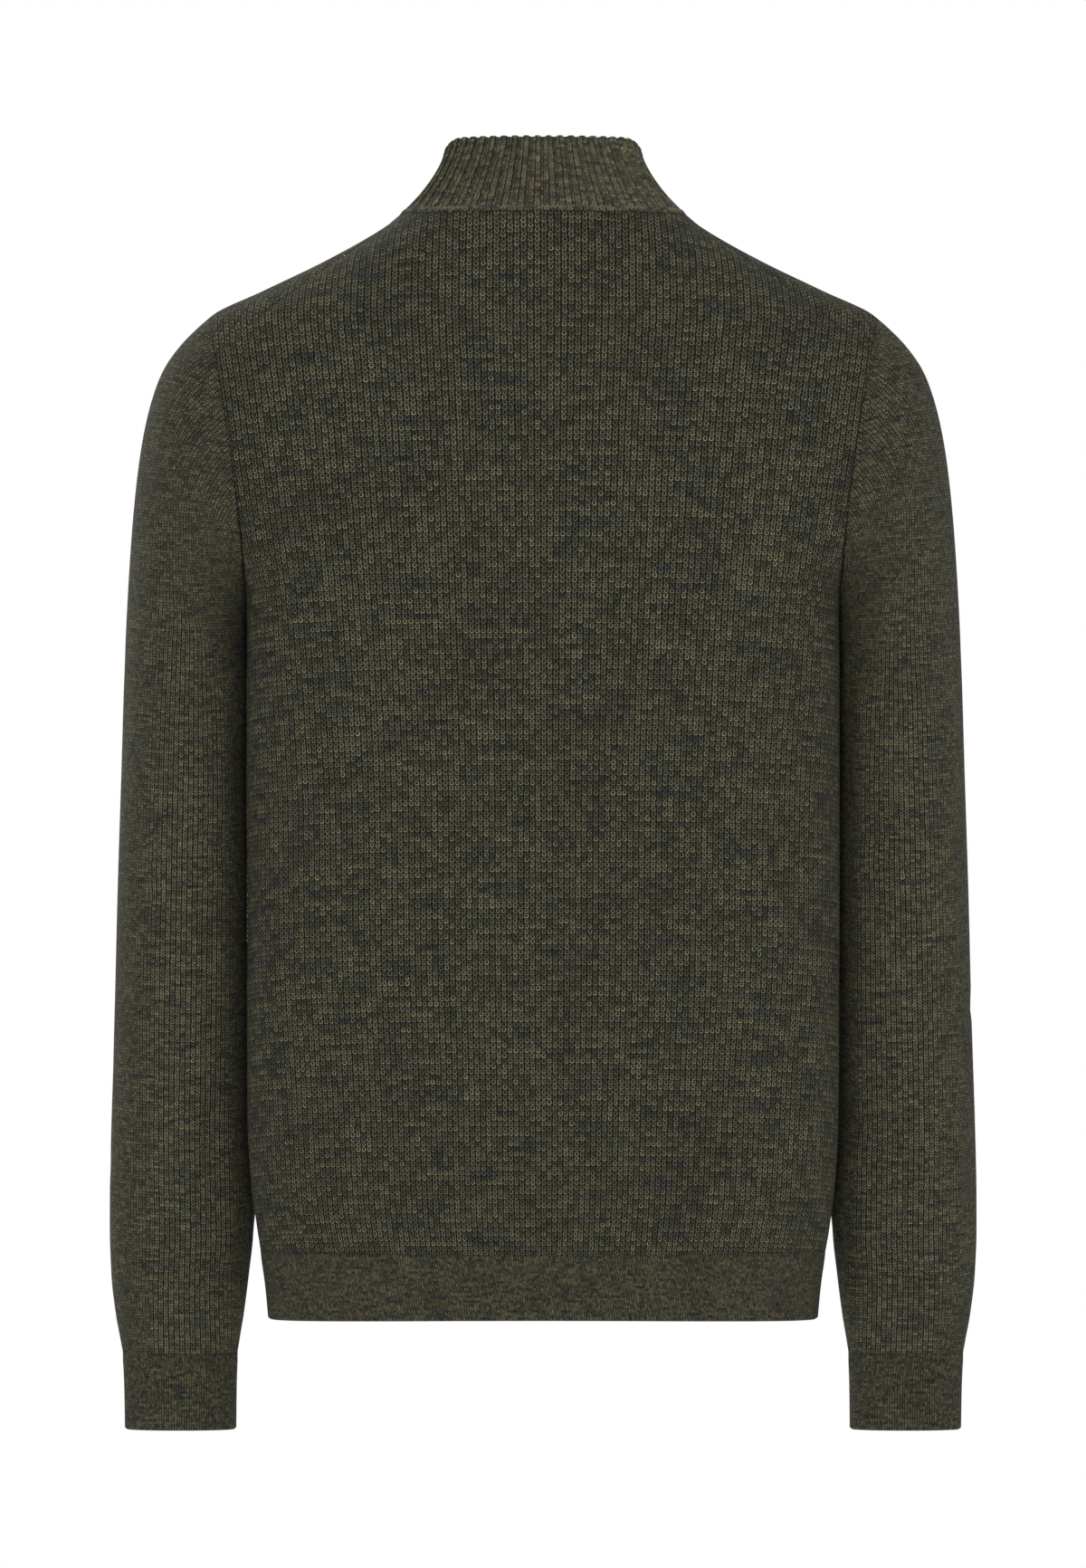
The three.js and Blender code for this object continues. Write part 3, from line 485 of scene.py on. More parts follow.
def knit(name, slot, ribbed, streak, bump_mm, tone, gap=0.99, marl=0.55, fleck=3.2, uneven=0.3,
         bridge=0.1):
    """ribbed, from 0 to 1, lets the wales hide the courses. streak is the wales and courses that
    go by before the colour changes, tone how light the yarn is drawn, gap how dark the painted
    shade in the holes and between the wales is, marl the flecks' share of the colour, against the
    streaks', fleck how many flecks a stitch has, uneven how far stitches wander, and bridge the
    yarn that shows between two wales. All the pieces are one yarn, and a lower tone paints the
    shade in the furrows of a rib."""
    material, add = new_material(name)
    even = add("UVMap", uv_map="stitches")
    wander = add("TexNoise", {"Vector": even, "Scale": 0.8, "Detail": 1}, out=1, **PLANE)
    place = add("VectorMath", [wander, (uneven, uneven, 0), even], "MULTIPLY_ADD")
    wale = add("SeparateXYZ", [place])
    course = add("SeparateXYZ", [place], out=1)
    # 0 in the middle of a wale and 1 between two wales.
    side = add("Math", [add("Math", [wale, 0.5], "PINGPONG"), 2], "MULTIPLY")
    # Each stitch sits a little higher or lower than the next, and takes more or less light.
    cell = add("CombineXYZ", [add("Math", [wale], "ROUND"), add("Math", [course], "FLOOR")])
    luck = add("TexWhiteNoise", [cell], **PLANE)
    lit = add("MapRange", [luck, 0, 1, 0.5, 1.25])
    lifted = add("Math", [luck, -0.14, course], "MULTIPLY_ADD")
    rise = add("Math", [lifted], "FRACT")
    # A U: a half ring at the foot of the stitch, with two legs up to the next one.
    low_part = add("Math", [rise, U_MIDDLE], "MINIMUM")
    bowl = add("Math", [low_part, U_MIDDLE], "SUBTRACT")
    spot = add("CombineXYZ", [side, add("Math", [bowl, SQUASH], "MULTIPLY")])
    reach = add("VectorMath", [spot], "LENGTH", out=1)
    from_ring = add("Math", [reach, U_HALF], "SUBTRACT")
    off = add("Math", [from_ring], "ABSOLUTE")
    loop = add("MapRange", [off, 0.3, 0.05, 0, 1], **SMOOTH)
    # Towards the next stitch the legs fade into painted shade, where they pass under it.
    tip = add("MapRange", [rise, 1.0, 0.65, 0.2, 1])
    # Through its hole shows the smaller bow of the stitch behind, half a course further up. It is
    # drawn low, so it stays half in the painted shade.
    behind = add("Math", [add("Math", [lifted, 0.5], "ADD")], "FRACT")
    below = add("Math", [behind, BOW_MIDDLE], "SUBTRACT")
    deeper = add("Math", [below, SQUASH], "MULTIPLY")
    bow_at = add("VectorMath", [add("CombineXYZ", [side, deeper])], "LENGTH", out=1)
    past_bow = add("Math", [bow_at, BOW_HALF], "SUBTRACT")
    from_bow = add("Math", [past_bow], "ABSOLUTE")
    bow_ring = add("MapRange", [from_bow, 0.22, 0.05, 0, 0.4], **SMOOTH)
    bow = add("Math", [bow_ring, add("MapRange", [behind, 0.6, 0.3, 0, 1])], "MULTIPLY")
    # Low down, the yarn also runs across to the next wale.
    low = add("Math", [add("Math", [rise, 0.2], "SUBTRACT")], "ABSOLUTE")
    across = add("MapRange", [low, 0.2, 0.03, 0, bridge], **SMOOTH)
    legs = add("Math", [loop, tip], "MULTIPLY")
    yarns = add("Math", [legs, bow], "MAXIMUM")
    strand = add("Math", [yarns, across], "MAXIMUM")
    # In a rib, the furrows between the wales are painted as shade.
    chain = add("MapRange", [side, 1.0, 0.6, 0, 1], **SMOOTH)
    height = add("Mix", {0: ribbed, 2: strand, 3: chain})
    # Streaks run along a course, which rises between the wales, and flecks come from the two
    # plies twisted together.
    bent = add("Math", [add("Math", [side, 2], "POWER"), -0.3, course], "MULTIPLY_ADD")
    row = add("CombineXYZ", [wale, add("Math", [bent], "FLOOR")])
    drawn_out = (1 / streak[0], 0.9 / streak[1], 0)
    streaks = add("TexNoise", {"Vector": add("VectorMath", [row, drawn_out], "MULTIPLY"),
                               "Scale": 1, "Detail": 3, "Roughness": 0.8}, **PLANE)
    flecks = add("TexNoise", {"Vector": place, "Scale": fleck, "Detail": 2, "Roughness": 0.75},
                 **PLANE)
    patches = add("TexNoise", {"Vector": place, "Scale": 0.05, "Detail": 3}, **PLANE)
    mixed = add("Mix", {0: marl, 2: streaks, 3: flecks})
    olive_share = add("MapRange", [mixed, 0.35, 0.62, 0, 1], **SMOOTH)
    brown_share = add("MapRange", [patches, 0.5, 0.72, 0, 0.6])
    olive = add("Mix", {0: brown_share, 6: paint(OLIVE), 7: paint(BROWN)}, **COLOURS)
    yarn = add("Mix", {0: olive_share, 6: paint(NAVY), 7: olive}, **COLOURS)
    # Low places are painted towards the near black, as shade.
    shade = add("MapRange", [height, 0.05, 0.95, gap, 0])
    colour = add("Mix", {0: shade, 6: yarn, 7: paint(HOLE_SHADE)}, **COLOURS)
    value = add("Math", [lit, tone], "MULTIPLY")
    toned = add("HueSaturation", {"Value": value, "Color": colour})
    fuzzy = add("Math", [flecks, 0.25, height], "MULTIPLY_ADD")
    relief = add("Bump", {"Strength": 1, "Distance": bump_mm * MM, "Height": fuzzy})
    wool = add("BsdfPrincipled", {
        "Base Color": toned, "Roughness": 0.95, "Specular IOR Level": 0.08, "Normal": relief,
        "Sheen Weight": 0.02, "Sheen Roughness": 0.6})
    add("OutputMaterial", {"Surface": wool})
    return material, slot


# All four knits are one yarn. The ribs are toned darker, which paints the shade in their furrows,
# and the sleeves lighter than the body.
body_knit = knit("marled_body_knit", "marled_knit", 0.0, (15, 0.9), 1.1, 0.75, bridge=0.15)
sleeve_knit = knit("marled_sleeve_knit", "marled_knit", 0.0, (9, 1.0), 1.0, 0.95, fleck=1.6,
                   uneven=0.35)
fine_rib = knit("marled_fine_rib", "rib_knit", 0.45, (9, 1.1), 0.6, 0.44, marl=0.5, fleck=0.7)
collar_rib = knit("marled_collar_rib", "rib_knit", 0.35, (4, 1.5), 0.8, 0.64, gap=0.9, marl=0.6,
                  uneven=0.4)
print("finishes", [knitted[0].name for knitted in (body_knit, sleeve_knit, fine_rib, collar_rib)])

# %% [markdown]
# ## The back and the fronts
# The wales, the upright chains of stitches, are 3.5 mm apart at the waist and spread towards the
# shoulders, where the wearer stretches them. Fully fashioned wales don't follow the armholes:
# stitches are dropped at the edges instead. So they are counted from the middle, with the
# spacing of their own height.

# %% Back and fronts
spacing = table_of("height wale course", (-641, 3.19, 2.95), (-607, 3.31, 2.85), (-540, 3.39, 3.2),
                   (-456, 3.5, 3.15), (-372, 3.52, 3.12), (-288, 3.63, 3.08), (-204, 3.8, 3.13),
                   (-120, 4.01, 3.1), (-64, 4.19, 2.95))
wale_width, course_height = (line_through(spacing, "height", name) for name in ("wale", "course"))


BY_WIDTH, AT_SIDE = 0.6, 0.7  # the share of x, and the least share of the way round
DROOP, DROOP_AT = 3, 235  # courses dropped, and how far round from the middle
OVER_FROM, OVER_BY = -150, 60  # where the cloth starts to turn over the shoulder


def body_stitches(points, facing):
    """The cloth is stretched a little where it turns round the side, so a wale's place is taken
    partly from x and partly from the distance round. At the very side, where x stands still, the
    distance alone counts. Each course droops slightly to the sides."""
    x, z = points[..., 0], np.clip(points[..., 2], HEM_SEAM, 0)
    half = half_width(z)
    turn = np.arcsin(np.clip(np.abs(x) / half, 0, 1))
    stations = np.sin(turn[..., None] * np.linspace(0, 1, 41)) * half[..., None]
    gone = np.linalg.norm(np.diff(trunk_at(stations, z[..., None], facing), axis=-2), axis=-1)
    counted = np.maximum(BY_WIDTH * np.diff(stations) + (1 - BY_WIDTH) * gone, AT_SIDE * gone)
    step = np.diff(points, axis=0)
    over_shoulder = ease((points[1:, :, 2] - OVER_FROM) / OVER_BY)
    climb = (np.hypot(step[..., 2], step[..., 1] * over_shoulder) / course_height(z[1:])).cumsum(0)
    courses = np.concatenate([np.zeros_like(climb[:1]), climb])
    courses = courses + DROOP * (gone.sum(-1) / DROOP_AT) ** 3
    return np.stack([np.sign(x) * counted.sum(-1) / wale_width(z), courses], -1)


mirror = np.array([-1, 1, 1])


def on_each_side(name, node, points, stitches, finish, free=(), wall=WALL, flip=(-1, 1)):
    """Makes the wearer's left piece, whose inner edge is the low side, and its mirror image."""
    pieces = {}
    for side, inner in (("left", "low_side"), ("right", "high_side")):
        if side == "right":
            points, stitches = points[:, ::-1] * mirror, stitches[:, ::-1] * flip
        edges = [inner if edge == "inner" else edge for edge in free]
        made = as_cloth(name + side, points, stitches, finish, free=edges, wall=wall)
        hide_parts(node + side)
        pieces[side] = made
    return pieces


back = dressed("back", both_sides(back_half), ("bottom", "top", "low_side", "high_side"))
knit_back = as_cloth("knit_back", back, body_stitches(back, 1), body_knit)
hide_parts("back")
front = dressed("front", front_half, ("bottom", "top", "high_side"))
knit_fronts = on_each_side("knit_front_", "front_", front, body_stitches(front, -1), body_knit,
                           free=("inner",))

# %% [markdown]
# ## The hem
# A ribbed band is linked on under the body. Its ribs are only 1.5 mm apart, too fine to model,
# so the rib finish draws them. The band grips the hips, so the body blouses a little over it.

# %% Hem bands
RIB, RIB_COURSE, HEM_ROWS = 1.52, 1.5, 14
HEM_SHORT, HEM_LIFT, HEM_HALF = 1.6, 2.2, 172


def band_stitches(points, pitch, course):
    across = lengths(points, 1)
    return np.stack([across / pitch, lengths(points, 0) / course], -1)


def hem_half(start, facing):
    heights = np.linspace(HEM_EDGE + HEM_SHORT, HEM_SEAM, HEM_ROWS + 1)[:, None]
    return level_rows(heights, even_widths(start, facing), start, facing)


hem = dressed("hem", both_sides(hem_half(0.0, 1)), ("top", "low_side", "high_side"))
# The band rides up a touch at the middle of the back.
middle_share = 1 - (hem[..., 0] / HEM_HALF) ** 2
hem[..., 2] += HEM_LIFT * middle_share * (HEM_SEAM - hem[..., 2]) / (HEM_SEAM - HEM_EDGE)
rib_hem_back = as_cloth("rib_hem_back", hem, band_stitches(hem, RIB, RIB_COURSE), fine_rib,
                        free=("bottom",))
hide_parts("hem_back")
front_hem = dressed("hem", hem_half(CLOTH_EDGE, -1), ("top", "high_side"))
front_hems = on_each_side("rib_hem_front_", "hem_front_", front_hem,
                          band_stitches(front_hem, RIB, RIB_COURSE), fine_rib,
                          free=("bottom", "inner"))

# %% [markdown]
# ## The sleeves
# A set-in sleeve starts as the armhole's own curve and becomes an oval tube that narrows to the
# cuff. The table holds ovals, each from an outer to an inner point. The first few fan round the
# armpit, so the sleeve's head meets the trunk with no step.

# %% Sleeves and cuffs
ovals = table_of(
    "ox oz ix iz deep mid", (207, -64, 184, -235, 70, 4), (224.3, -81, 184.7, -241, 71, 1),
    (235.5, -97, 184.8, -246, 71.5, -2), (242.5, -115, 184.7, -252, 71, -6),
    (248.6, -141, 184.5, -260, 70.5, -10), (253.5, -178, 184.1, -271, 70, -14),
    (257, -222, 183.6, -289, 70, -18), (259.8, -275, 183.1, -319, 69, -22),
    (262, -345, 182.8, -368, 66, -24), (264.4, -420, 182.8, -430, 61, -24),
    (266.3, -495, 182.8, -495, 57, -25), (268.5, -562, 182.3, -562, 54, -26),
    (269.5, -604, 180.8, -604, 52, -27), (269.6, -630, 180.2, -630, 49, -28),
    (268.6, -657, 182.8, -657, 45, -29), (265.8, -682, 186, -682, 38, -30),
    (261.8, -706, 189.6, -706, 30, -31), (260.6, -728, 190.5, -728, 28, -32),
    (260.2, -753, 190.8, -753, 27, -33))
CUFF_FROM, SLEEVE_SQUARE, ARMHOLE_FADE = 16, 2.2, 5
ROUND, QUARTER = 96, 24  # columns all round a sleeve, and in a quarter of it
HEAD_SHARE = 0.62  # how far up its rows the sleeve's head begins
SLEEVE_WALE, SLEEVE_COURSE, CUFF_WALE, CUFF_COURSE = 3.3, 1.8, 1.57, 1.58
oval_lines = {name: line_through(ovals, None, name) for name in ovals[0]}


def oval_at(section, turn):
    at = {name: line(section) for name, line in oval_lines.items()}
    bent = [np.sign(v) * np.abs(v) ** (2 / SLEEVE_SQUARE)
            for v in (np.cos(np.radians(turn)), np.sin(np.radians(turn)))]
    share = (1 + bent[0]) / 2
    return np.stack([at["ix"] + (at["ox"] - at["ix"]) * share, at["mid"] + at["deep"] * bent[1],
                     at["iz"] + (at["oz"] - at["iz"]) * share], -1)


def sleeve_grid(first, last, rows):
    """Rows run up from the cuff, and columns round from the underarm seam."""
    section = np.linspace(last, first, rows + 1)[:, None]
    turn = np.linspace(-180, 180, ROUND + 1)[None, :-1]
    section, turn = np.broadcast_arrays(section, turn)
    keep = np.clip(1 - section / ARMHOLE_FADE, 0, 1)[..., None] ** 2
    return oval_at(section, turn) + (armhole_at(turn) - oval_at(0 * section, turn)) * keep


def tube_stitches(points, pitch, course):
    """Wales are counted both ways from the outer edge, and follow it round the sleeve's head. Below
    that the tube narrows, and they close up beside the edge, so that they still run straight down
    the middle of its back and its front."""
    closed = np.concatenate([points, points[:, :1]], 1)
    outer_edge = 2 * QUARTER
    arc = lengths(closed, 1)
    arc = arc - arc[:, outer_edge:outer_edge + 1]
    turn = np.abs(np.arange(ROUND + 1) - outer_edge) / QUARTER
    head = int(len(points) * HEAD_SHARE)
    below_head = np.arange(len(points))[:, None] < head
    for middle, columns in ((QUARTER, slice(0, outer_edge + 1)),
                            (3 * QUARTER, slice(outer_edge + 1, ROUND + 1))):
        at_middle = arc[:, middle:middle + 1]
        missing = np.where(below_head, at_middle[head] - at_middle, 0)
        arc[:, columns] += missing * ease(turn[columns] / 0.8)
    return np.stack([arc / pitch, lengths(closed, 0) / course], -1)


smooth_sleeve = sleeve_grid(0, CUFF_FROM, 170)
smooth_cuff = sleeve_grid(CUFF_FROM, len(ovals) - 1, 18)
for side in ("left", "right"):
    flip = (lambda g: g) if side == "left" else (lambda g: g[:, ::-1] * mirror)
    tube = dressed("sleeve_" + side, flip(smooth_sleeve), ("top", "bottom"), ring=True)
    sleeve = as_cloth("knit_sleeve_" + side, tube,
                      tube_stitches(tube, SLEEVE_WALE, SLEEVE_COURSE), sleeve_knit, ring=True)
    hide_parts("sleeve_" + side)
    band = dressed("cuff", flip(smooth_cuff), ("top",), ring=True)
    cuff = as_cloth("rib_cuff_" + side, band, tube_stitches(band, CUFF_WALE, CUFF_COURSE),
                    fine_rib, ring=True, free=("bottom",))
    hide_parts("cuff_" + side)
    declare_cut(sleeve, tube, ring=True)
    declare_cut(cuff, band, ring=True)

# %% [markdown]
# ## The stand collar
# The collar is a band of deep ribs that flares down to the neckline and dips to the
# front, where the zip draws it together. Its ribs are 8.7 mm wide, large enough to model, so they
# scallop the top edge as real ones do. The fine stitches on them come from the rib finish.

# %% Collar
COLLAR_TOP = dict(half=62, back=56, front=70, height=45.2, drop=58.2)
LEVEL_FROM, FLARE, COLLAR_RIB, RIB_COLUMNS, COLLAR_ROWS = 35, 0.5, 8.7, 14, 24
RIB_DEEP, RIB_DIP, SCALLOP, COLLAR_COURSE = 1.7, 0.15, 0.7, 1.9


def collar_width(up):
    lean = (1 - up) ** (1 + FLARE * CLOTH_EDGE / neck_half)
    return COLLAR_TOP["half"] + (neck_half - COLLAR_TOP["half"]) * lean


def collar_at(turn, up):
    turn, up = np.broadcast_arrays(np.asarray(turn, float), np.asarray(up, float))
    foot = neckline_at(turn)
    cosine, sine = np.cos(np.radians(turn)), np.sin(np.radians(turn))
    fall = ease((LEVEL_FROM - turn) / (LEVEL_FROM + 90))
    top = np.stack([COLLAR_TOP["half"] * cosine,
                    np.where(turn > 0, COLLAR_TOP["back"], COLLAR_TOP["front"]) * sine,
                    COLLAR_TOP["height"] - COLLAR_TOP["drop"] * fall], -1)
    lean = (1 - up) ** (1 + FLARE * np.abs(cosine))
    return foot + (top - foot) * np.stack([1 - lean, 1 - lean, up], -1)


def collar_half(columns):
    up = np.linspace(0, 1, COLLAR_ROWS + 1)[:, None]
    first = -np.degrees(np.arccos(CLOTH_EDGE / collar_width(up)))
    fine = np.linspace(0, 1, 801)
    length = lengths(collar_at(90 + (first[COLLAR_ROWS // 2] - 90) * fine, 0.5), 0)
    share = np.interp(np.linspace(0, length[-1], columns + 1), length, fine)
    return collar_at(90 + (first - 90) * share, up), float(length[-1])


collar_length = collar_half(200)[1]
ribs = round(collar_length / COLLAR_RIB)
collar = both_sides(collar_half(ribs * RIB_COLUMNS)[0])
rib_place = (np.arange(collar.shape[1]) - ribs * RIB_COLUMNS) / RIB_COLUMNS
from_ridge = np.abs((rib_place % 1) - 0.5) * 2
rounded = ease((1 - from_ridge) / 0.55)
ridge = rounded - RIB_DIP * np.exp(-((from_ridge / 0.2) ** 2))
rise = np.linspace(0, 1, COLLAR_ROWS + 1)[:, None]
ribbed_push = RIB_DEEP * (ridge - 1) * (0.2 + 0.8 * ease(rise / 0.3))  # flatter at the seam
collar = collar + outward(collar) * ribbed_push[..., None]
collar[..., 2] += SCALLOP * (rounded - 0.8) * ease((rise - 0.8) / 0.2)
# Three wales to a rib: two show, and the third lies down in the furrow, half on each side.
in_rib = np.interp(rib_place % 1, [0, 1 / 14, 1 / 2, 13 / 14, 1], [0, 0.5, 1.5, 2.5, 3])
collar_wales = np.broadcast_to(3 * np.floor(rib_place) + in_rib, collar.shape[:2])
collar_count = np.stack([collar_wales, lengths(collar, 0) / COLLAR_COURSE], -1)
rib_collar = as_cloth("rib_collar", collar, collar_count, collar_rib,
                      free=("top", "low_side", "high_side"))
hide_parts("collar")
print(2 * ribs, "collar ribs of", round(collar_length / ribs, 2), "mm")

# %% [markdown]
# ## The linking row
# The collar is linked to the neckline stitch by stitch, and the linking shows as one row of
# small Vs. The finish could draw them, but a row of real loops catches the light along the seam,
# so each V is two leaning grains of yarn.

# %% Row of linking stitches
def marled_yarn():
    """The same olive and navy yarn, as dark as the knit is toned. Each grain has its own share."""
    material, add = new_material("marled_linking_yarn")
    place = add("TexCoord", out=3)
    share = add("TexNoise", {"Vector": place, "Scale": 160, "Detail": 2})
    olive_share = add("MapRange", [share, 0.4, 0.55, 0, 1])
    yarn = add("Mix", {0: olive_share, 6: paint("#202426"), 7: paint("#534f3b")}, **COLOURS)
    twist = add("TexWave", {"Vector": place, "Scale": 900, "Distortion": 2}, out=1)
    relief = add("Bump", {"Strength": 0.5, "Distance": 0.2 * MM, "Height": twist})
    wool = add("BsdfPrincipled", {"Base Color": yarn, "Roughness": 0.95, "Specular IOR Level": 0.2,
                                  "Normal": relief, "Sheen Weight": 0.08, "Sheen Roughness": 0.6})
    add("OutputMaterial", {"Surface": wool})
    return material, "rib_knit"


def arrays_from(made):
    """The points and faces of a bmesh, which is freed."""
    made.verts.index_update()
    points = np.array([v.co[:] for v in made.verts])
    faces = [[v.index for v in f.verts] for f in made.faces]
    made.free()
    return points, faces


def grain(sides=8, rings=6):
    """A grain of yarn, 1 long and 1 thick, standing on Z."""
    made = bmesh.new()
    bmesh.ops.create_uvsphere(made, u_segments=sides, v_segments=rings, radius=0.5)
    points, faces = arrays_from(made)
    return points, sorted(faces)  # Blender makes them in another order each time


def array_of(shape, places):
    """One mesh from many copies. Each place is a 3 x 3 of axes with sizes, and a middle."""
    vertices, faces = shape
    at = np.concatenate([vertices @ axes + middle for axes, middle in places])
    return at, [[i + k * len(vertices) for i in f] for k in range(len(places)) for f in faces]


LOOP, LEAN = 3.1, 0.55  # from one V to the next, and how far its grains lean
GRAIN_SIZE = np.array([[1.0], [0.9], [2.9]])  # wide, deep and long
seam_up = np.array([0.03, 0.11])  # shares of the collar's height between which the row lies
seam_half = collar_at(90 + (front_turn - 90) * np.linspace(0, 1, 400)[None], seam_up[:, None])
seam = both_sides(seam_half)[:, ::-1]
seam_out, seam_rise = outward(seam[:, ::-1])[0][::-1], unit(seam[1] - seam[0])
seam_run = lengths(seam[0][None], 1)[0]
places = []
for at in np.arange(LOOP / 2, seam_run[-1] - LOOP / 2, LOOP):
    middle, out, rise_by = (np.array([np.interp(at, seam_run, v[:, k]) for k in range(3)])
                            for v in (seam[0], seam_out, seam_rise))
    along = unit(np.cross(rise_by, out))
    for lean in (-1, 1):
        length_axis = unit(rise_by + LEAN * lean * along)
        width_axis = unit(np.cross(out, length_axis))
        axes = GRAIN_SIZE * np.stack([width_axis, out, length_axis])
        places.append((axes, middle + 0.8 * lean * along - 0.1 * out + 0.9 * rise_by))
neck_linking = as_piece("neck_linking", *array_of(grain(), places), marled_yarn())
declare_cut(rib_collar, collar)
declare_cut(knit_back, back)
for knit_front in knit_fronts.values():
    declare_cut(knit_front, front)
declare_cut(rib_hem_back, hem)
for side, front_band in front_hems.items():
    declare_cut(front_band, front_hem)

# %% [markdown]
# ## The zip's metal and tape
# The zip is a metal one with separate teeth. Each tooth is pressed from nickel-plated brass and
# clamped on a woven polyester tape. The plating is dull and a little worn, so its edges and high
# places are brighter than its hollows.

# %% Finishes for the zip
def plated_metal(name, bright, dark, roughness):
    material, add = new_material(name)
    place = add("TexCoord", out=3)
    cloud = add("TexNoise", {"Vector": place, "Scale": 220, "Detail": 4})
    worn = add("NewGeometry", out=7)
    edges = add("MapRange", [worn, 0.49, 0.56, 0, 1])
    grime = add("MapRange", [cloud, 0.35, 0.7, 0, 0.7])
    mostly = add("Mix", {0: grime, 6: paint(bright), 7: paint(dark)}, **COLOURS)
    colour = add("Mix", {0: edges, 6: mostly, 7: paint("#b9b4a6")}, **COLOURS)
    rough = add("MapRange", [cloud, 0.3, 0.7, roughness - 0.08, roughness + 0.14])
    scratches = add("TexNoise", {"Vector": place, "Scale": 1500, "Detail": 2})
    relief = add("Bump", {"Strength": 0.15, "Distance": 0.05 * MM, "Height": scratches})
    metal = add("BsdfPrincipled", {"Base Color": colour, "Metallic": 1, "Roughness": rough,
                                   "Normal": relief})
    add("OutputMaterial", {"Surface": metal})
    return material, "zip_metal"


def woven_tape():
    """Polyester filament tape, woven in a herringbone. Its smooth threads give it a slight gloss.
    The real threads are about 0.3 mm apart, and are drawn at 0.7 mm so that they show."""
    material, add = new_material("woven_polyester_tape")
    place = add("UVMap", uv_map="stitches")
    u, v = add("SeparateXYZ", [place]), add("SeparateXYZ", [place], out=1)
    half_thread, stripe = 0.35, 2.6
    zigzag = add("Math", [u, stripe], "PINGPONG")
    slanted = add("Math", [v, zigzag], "ADD")
    twill = add("Math", [slanted, half_thread], "PINGPONG")
    height = add("MapRange", [twill, 0.0, half_thread, 0, 1])
    # The weave's colour follows its height, from a near black in the furrows to a dark grey on the
    # raised threads: painted shade and light over the tape's own black.
    colour = add("Mix", {0: height, 6: paint("#0d0e10"), 7: paint("#26282b")}, **COLOURS)
    relief = add("Bump", {"Strength": 0.6, "Distance": 0.2 * MM, "Height": height})
    thread = add("BsdfPrincipled", {"Base Color": colour, "Roughness": 0.6, "Normal": relief,
                                    "Sheen Weight": 0.1, "Sheen Roughness": 0.4})
    add("OutputMaterial", {"Surface": thread})
    return material, "zip_tape"


tooth_metal = plated_metal("nickel_plated_brass_teeth", "#8d897f", "#4b4943", 0.34)
slider_metal = plated_metal("nickel_plated_zinc_slider", "#86837a", "#4f4d48", 0.3)
tape_weave = woven_tape()
print("zip finishes", tooth_metal[0].name, slider_metal[0].name, tape_weave[0].name)

# %% [markdown]
# ## Tapes and teeth
# Both follow one path up the middle of the front, from the hem over the neckline. The teeth stop
# at the slider. They are an array of one bevelled block, the body and then the head of a tooth
# every 3 mm, with the right side half a step up so that the two rows mesh.

# %% Zip tapes and teeth
TAPE_EDGE, TAPE_WIDTH, TAPE_SINK, TAPE_WALL = 0.3, 12, 3.4, 0.8
TAPE_UP, SLIDER_UP = 0.97, 0.8  # shares of the collar's height that tape and teeth reach
TOOTH_PITCH, FIRST_TOOTH, TOOTH_SINK = 3.0, 9.0, 1.55
BODY_AT, BODY_SIZE = 1.45, (2.5, 2.4, 1.3)  # from the middle; across, deep and high
HEAD_AT, HEAD_SIZE = -0.05, (1.2, 1.7, 1.05)


def zip_path(x, top, first=HEM_EDGE + 1.0):
    """Points up the front at x aside of its middle, from the hem to a share of the collar."""
    foot = float(neckline_at(-math.degrees(math.acos(x / neck_half)))[2])
    trunk = trunk_at(x, np.linspace(first, foot, 300), -1)
    up = np.linspace(0, top, 60)[1:]
    return np.concatenate([trunk, collar_at(-np.degrees(np.arccos(x / collar_width(up))), up)])


def points_along(path, marks):
    """Points of a path at the distances that marks works out from its whole length."""
    run = lengths(path, 0)
    return np.stack([np.interp(marks(run[-1]), run, path[:, k]) for k in range(3)], -1)


tape = np.stack([points_along(zip_path(x, TAPE_UP), lambda whole: np.linspace(0, whole, 160))
                 for x in np.linspace(TAPE_EDGE, TAPE_WIDTH, 5)], 1)
tape = tape - outward(tape) * TAPE_SINK
tape_count = np.stack([lengths(tape, 1), lengths(tape, 0)], -1)
tapes = on_each_side("woven_tape_", "zip_tape_", tape, tape_count, tape_weave, wall=TAPE_WALL,
                     flip=(1, 1))
for side, tape_piece in tapes.items():
    declare_cut(tape_piece, tape)


def bevelled_block(bevel=0.18):
    """A block 1 x 1 x 1 with softened edges, as a press leaves them."""
    made = bmesh.new()
    bmesh.ops.create_cube(made, size=1)
    bmesh.ops.bevel(made, geom=made.edges[:], offset=bevel, segments=2, profile=0.6,
                    affect="EDGES")
    return arrays_from(made)


tooth = bevelled_block()
for side, sign in (("left", 1), ("right", -1)):
    first_tooth = FIRST_TOOTH + (TOOTH_PITCH / 2 if sign < 0 else 0)
    line = points_along(zip_path(0.2, SLIDER_UP),
                        lambda whole: np.arange(first_tooth, whole, TOOTH_PITCH))
    up_axis = unit(np.gradient(line, axis=0))
    places = []
    for middle, rise_by in zip(line * [0, 1, 1], unit(up_axis * [0, 1, 1])):
        out = np.cross([1, 0, 0], rise_by)
        axes = np.stack([[sign, 0, 0], out, rise_by])
        for aside, size in ((BODY_AT, BODY_SIZE), (HEAD_AT, HEAD_SIZE)):
            at = middle + np.array([aside * sign, 0, 0]) - TOOTH_SINK * out
            places.append((np.array(size)[:, None] * axes, at))
    teeth = as_piece("zip_tooth_row_" + side, *array_of(tooth, places), tooth_metal)
    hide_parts("zip_teeth_" + side)
    print(len(places) // 2, "teeth on the", side)

# %% [markdown]
# ## Slider, pull, stops and box
# These small castings already have their true shape in the frame. Cast metal has no knife edges,
# so each gets a copy with softened ones, which catch the light.

# %% Softened copies of the small castings
FLAT, SHARP = math.radians(2), math.radians(50)


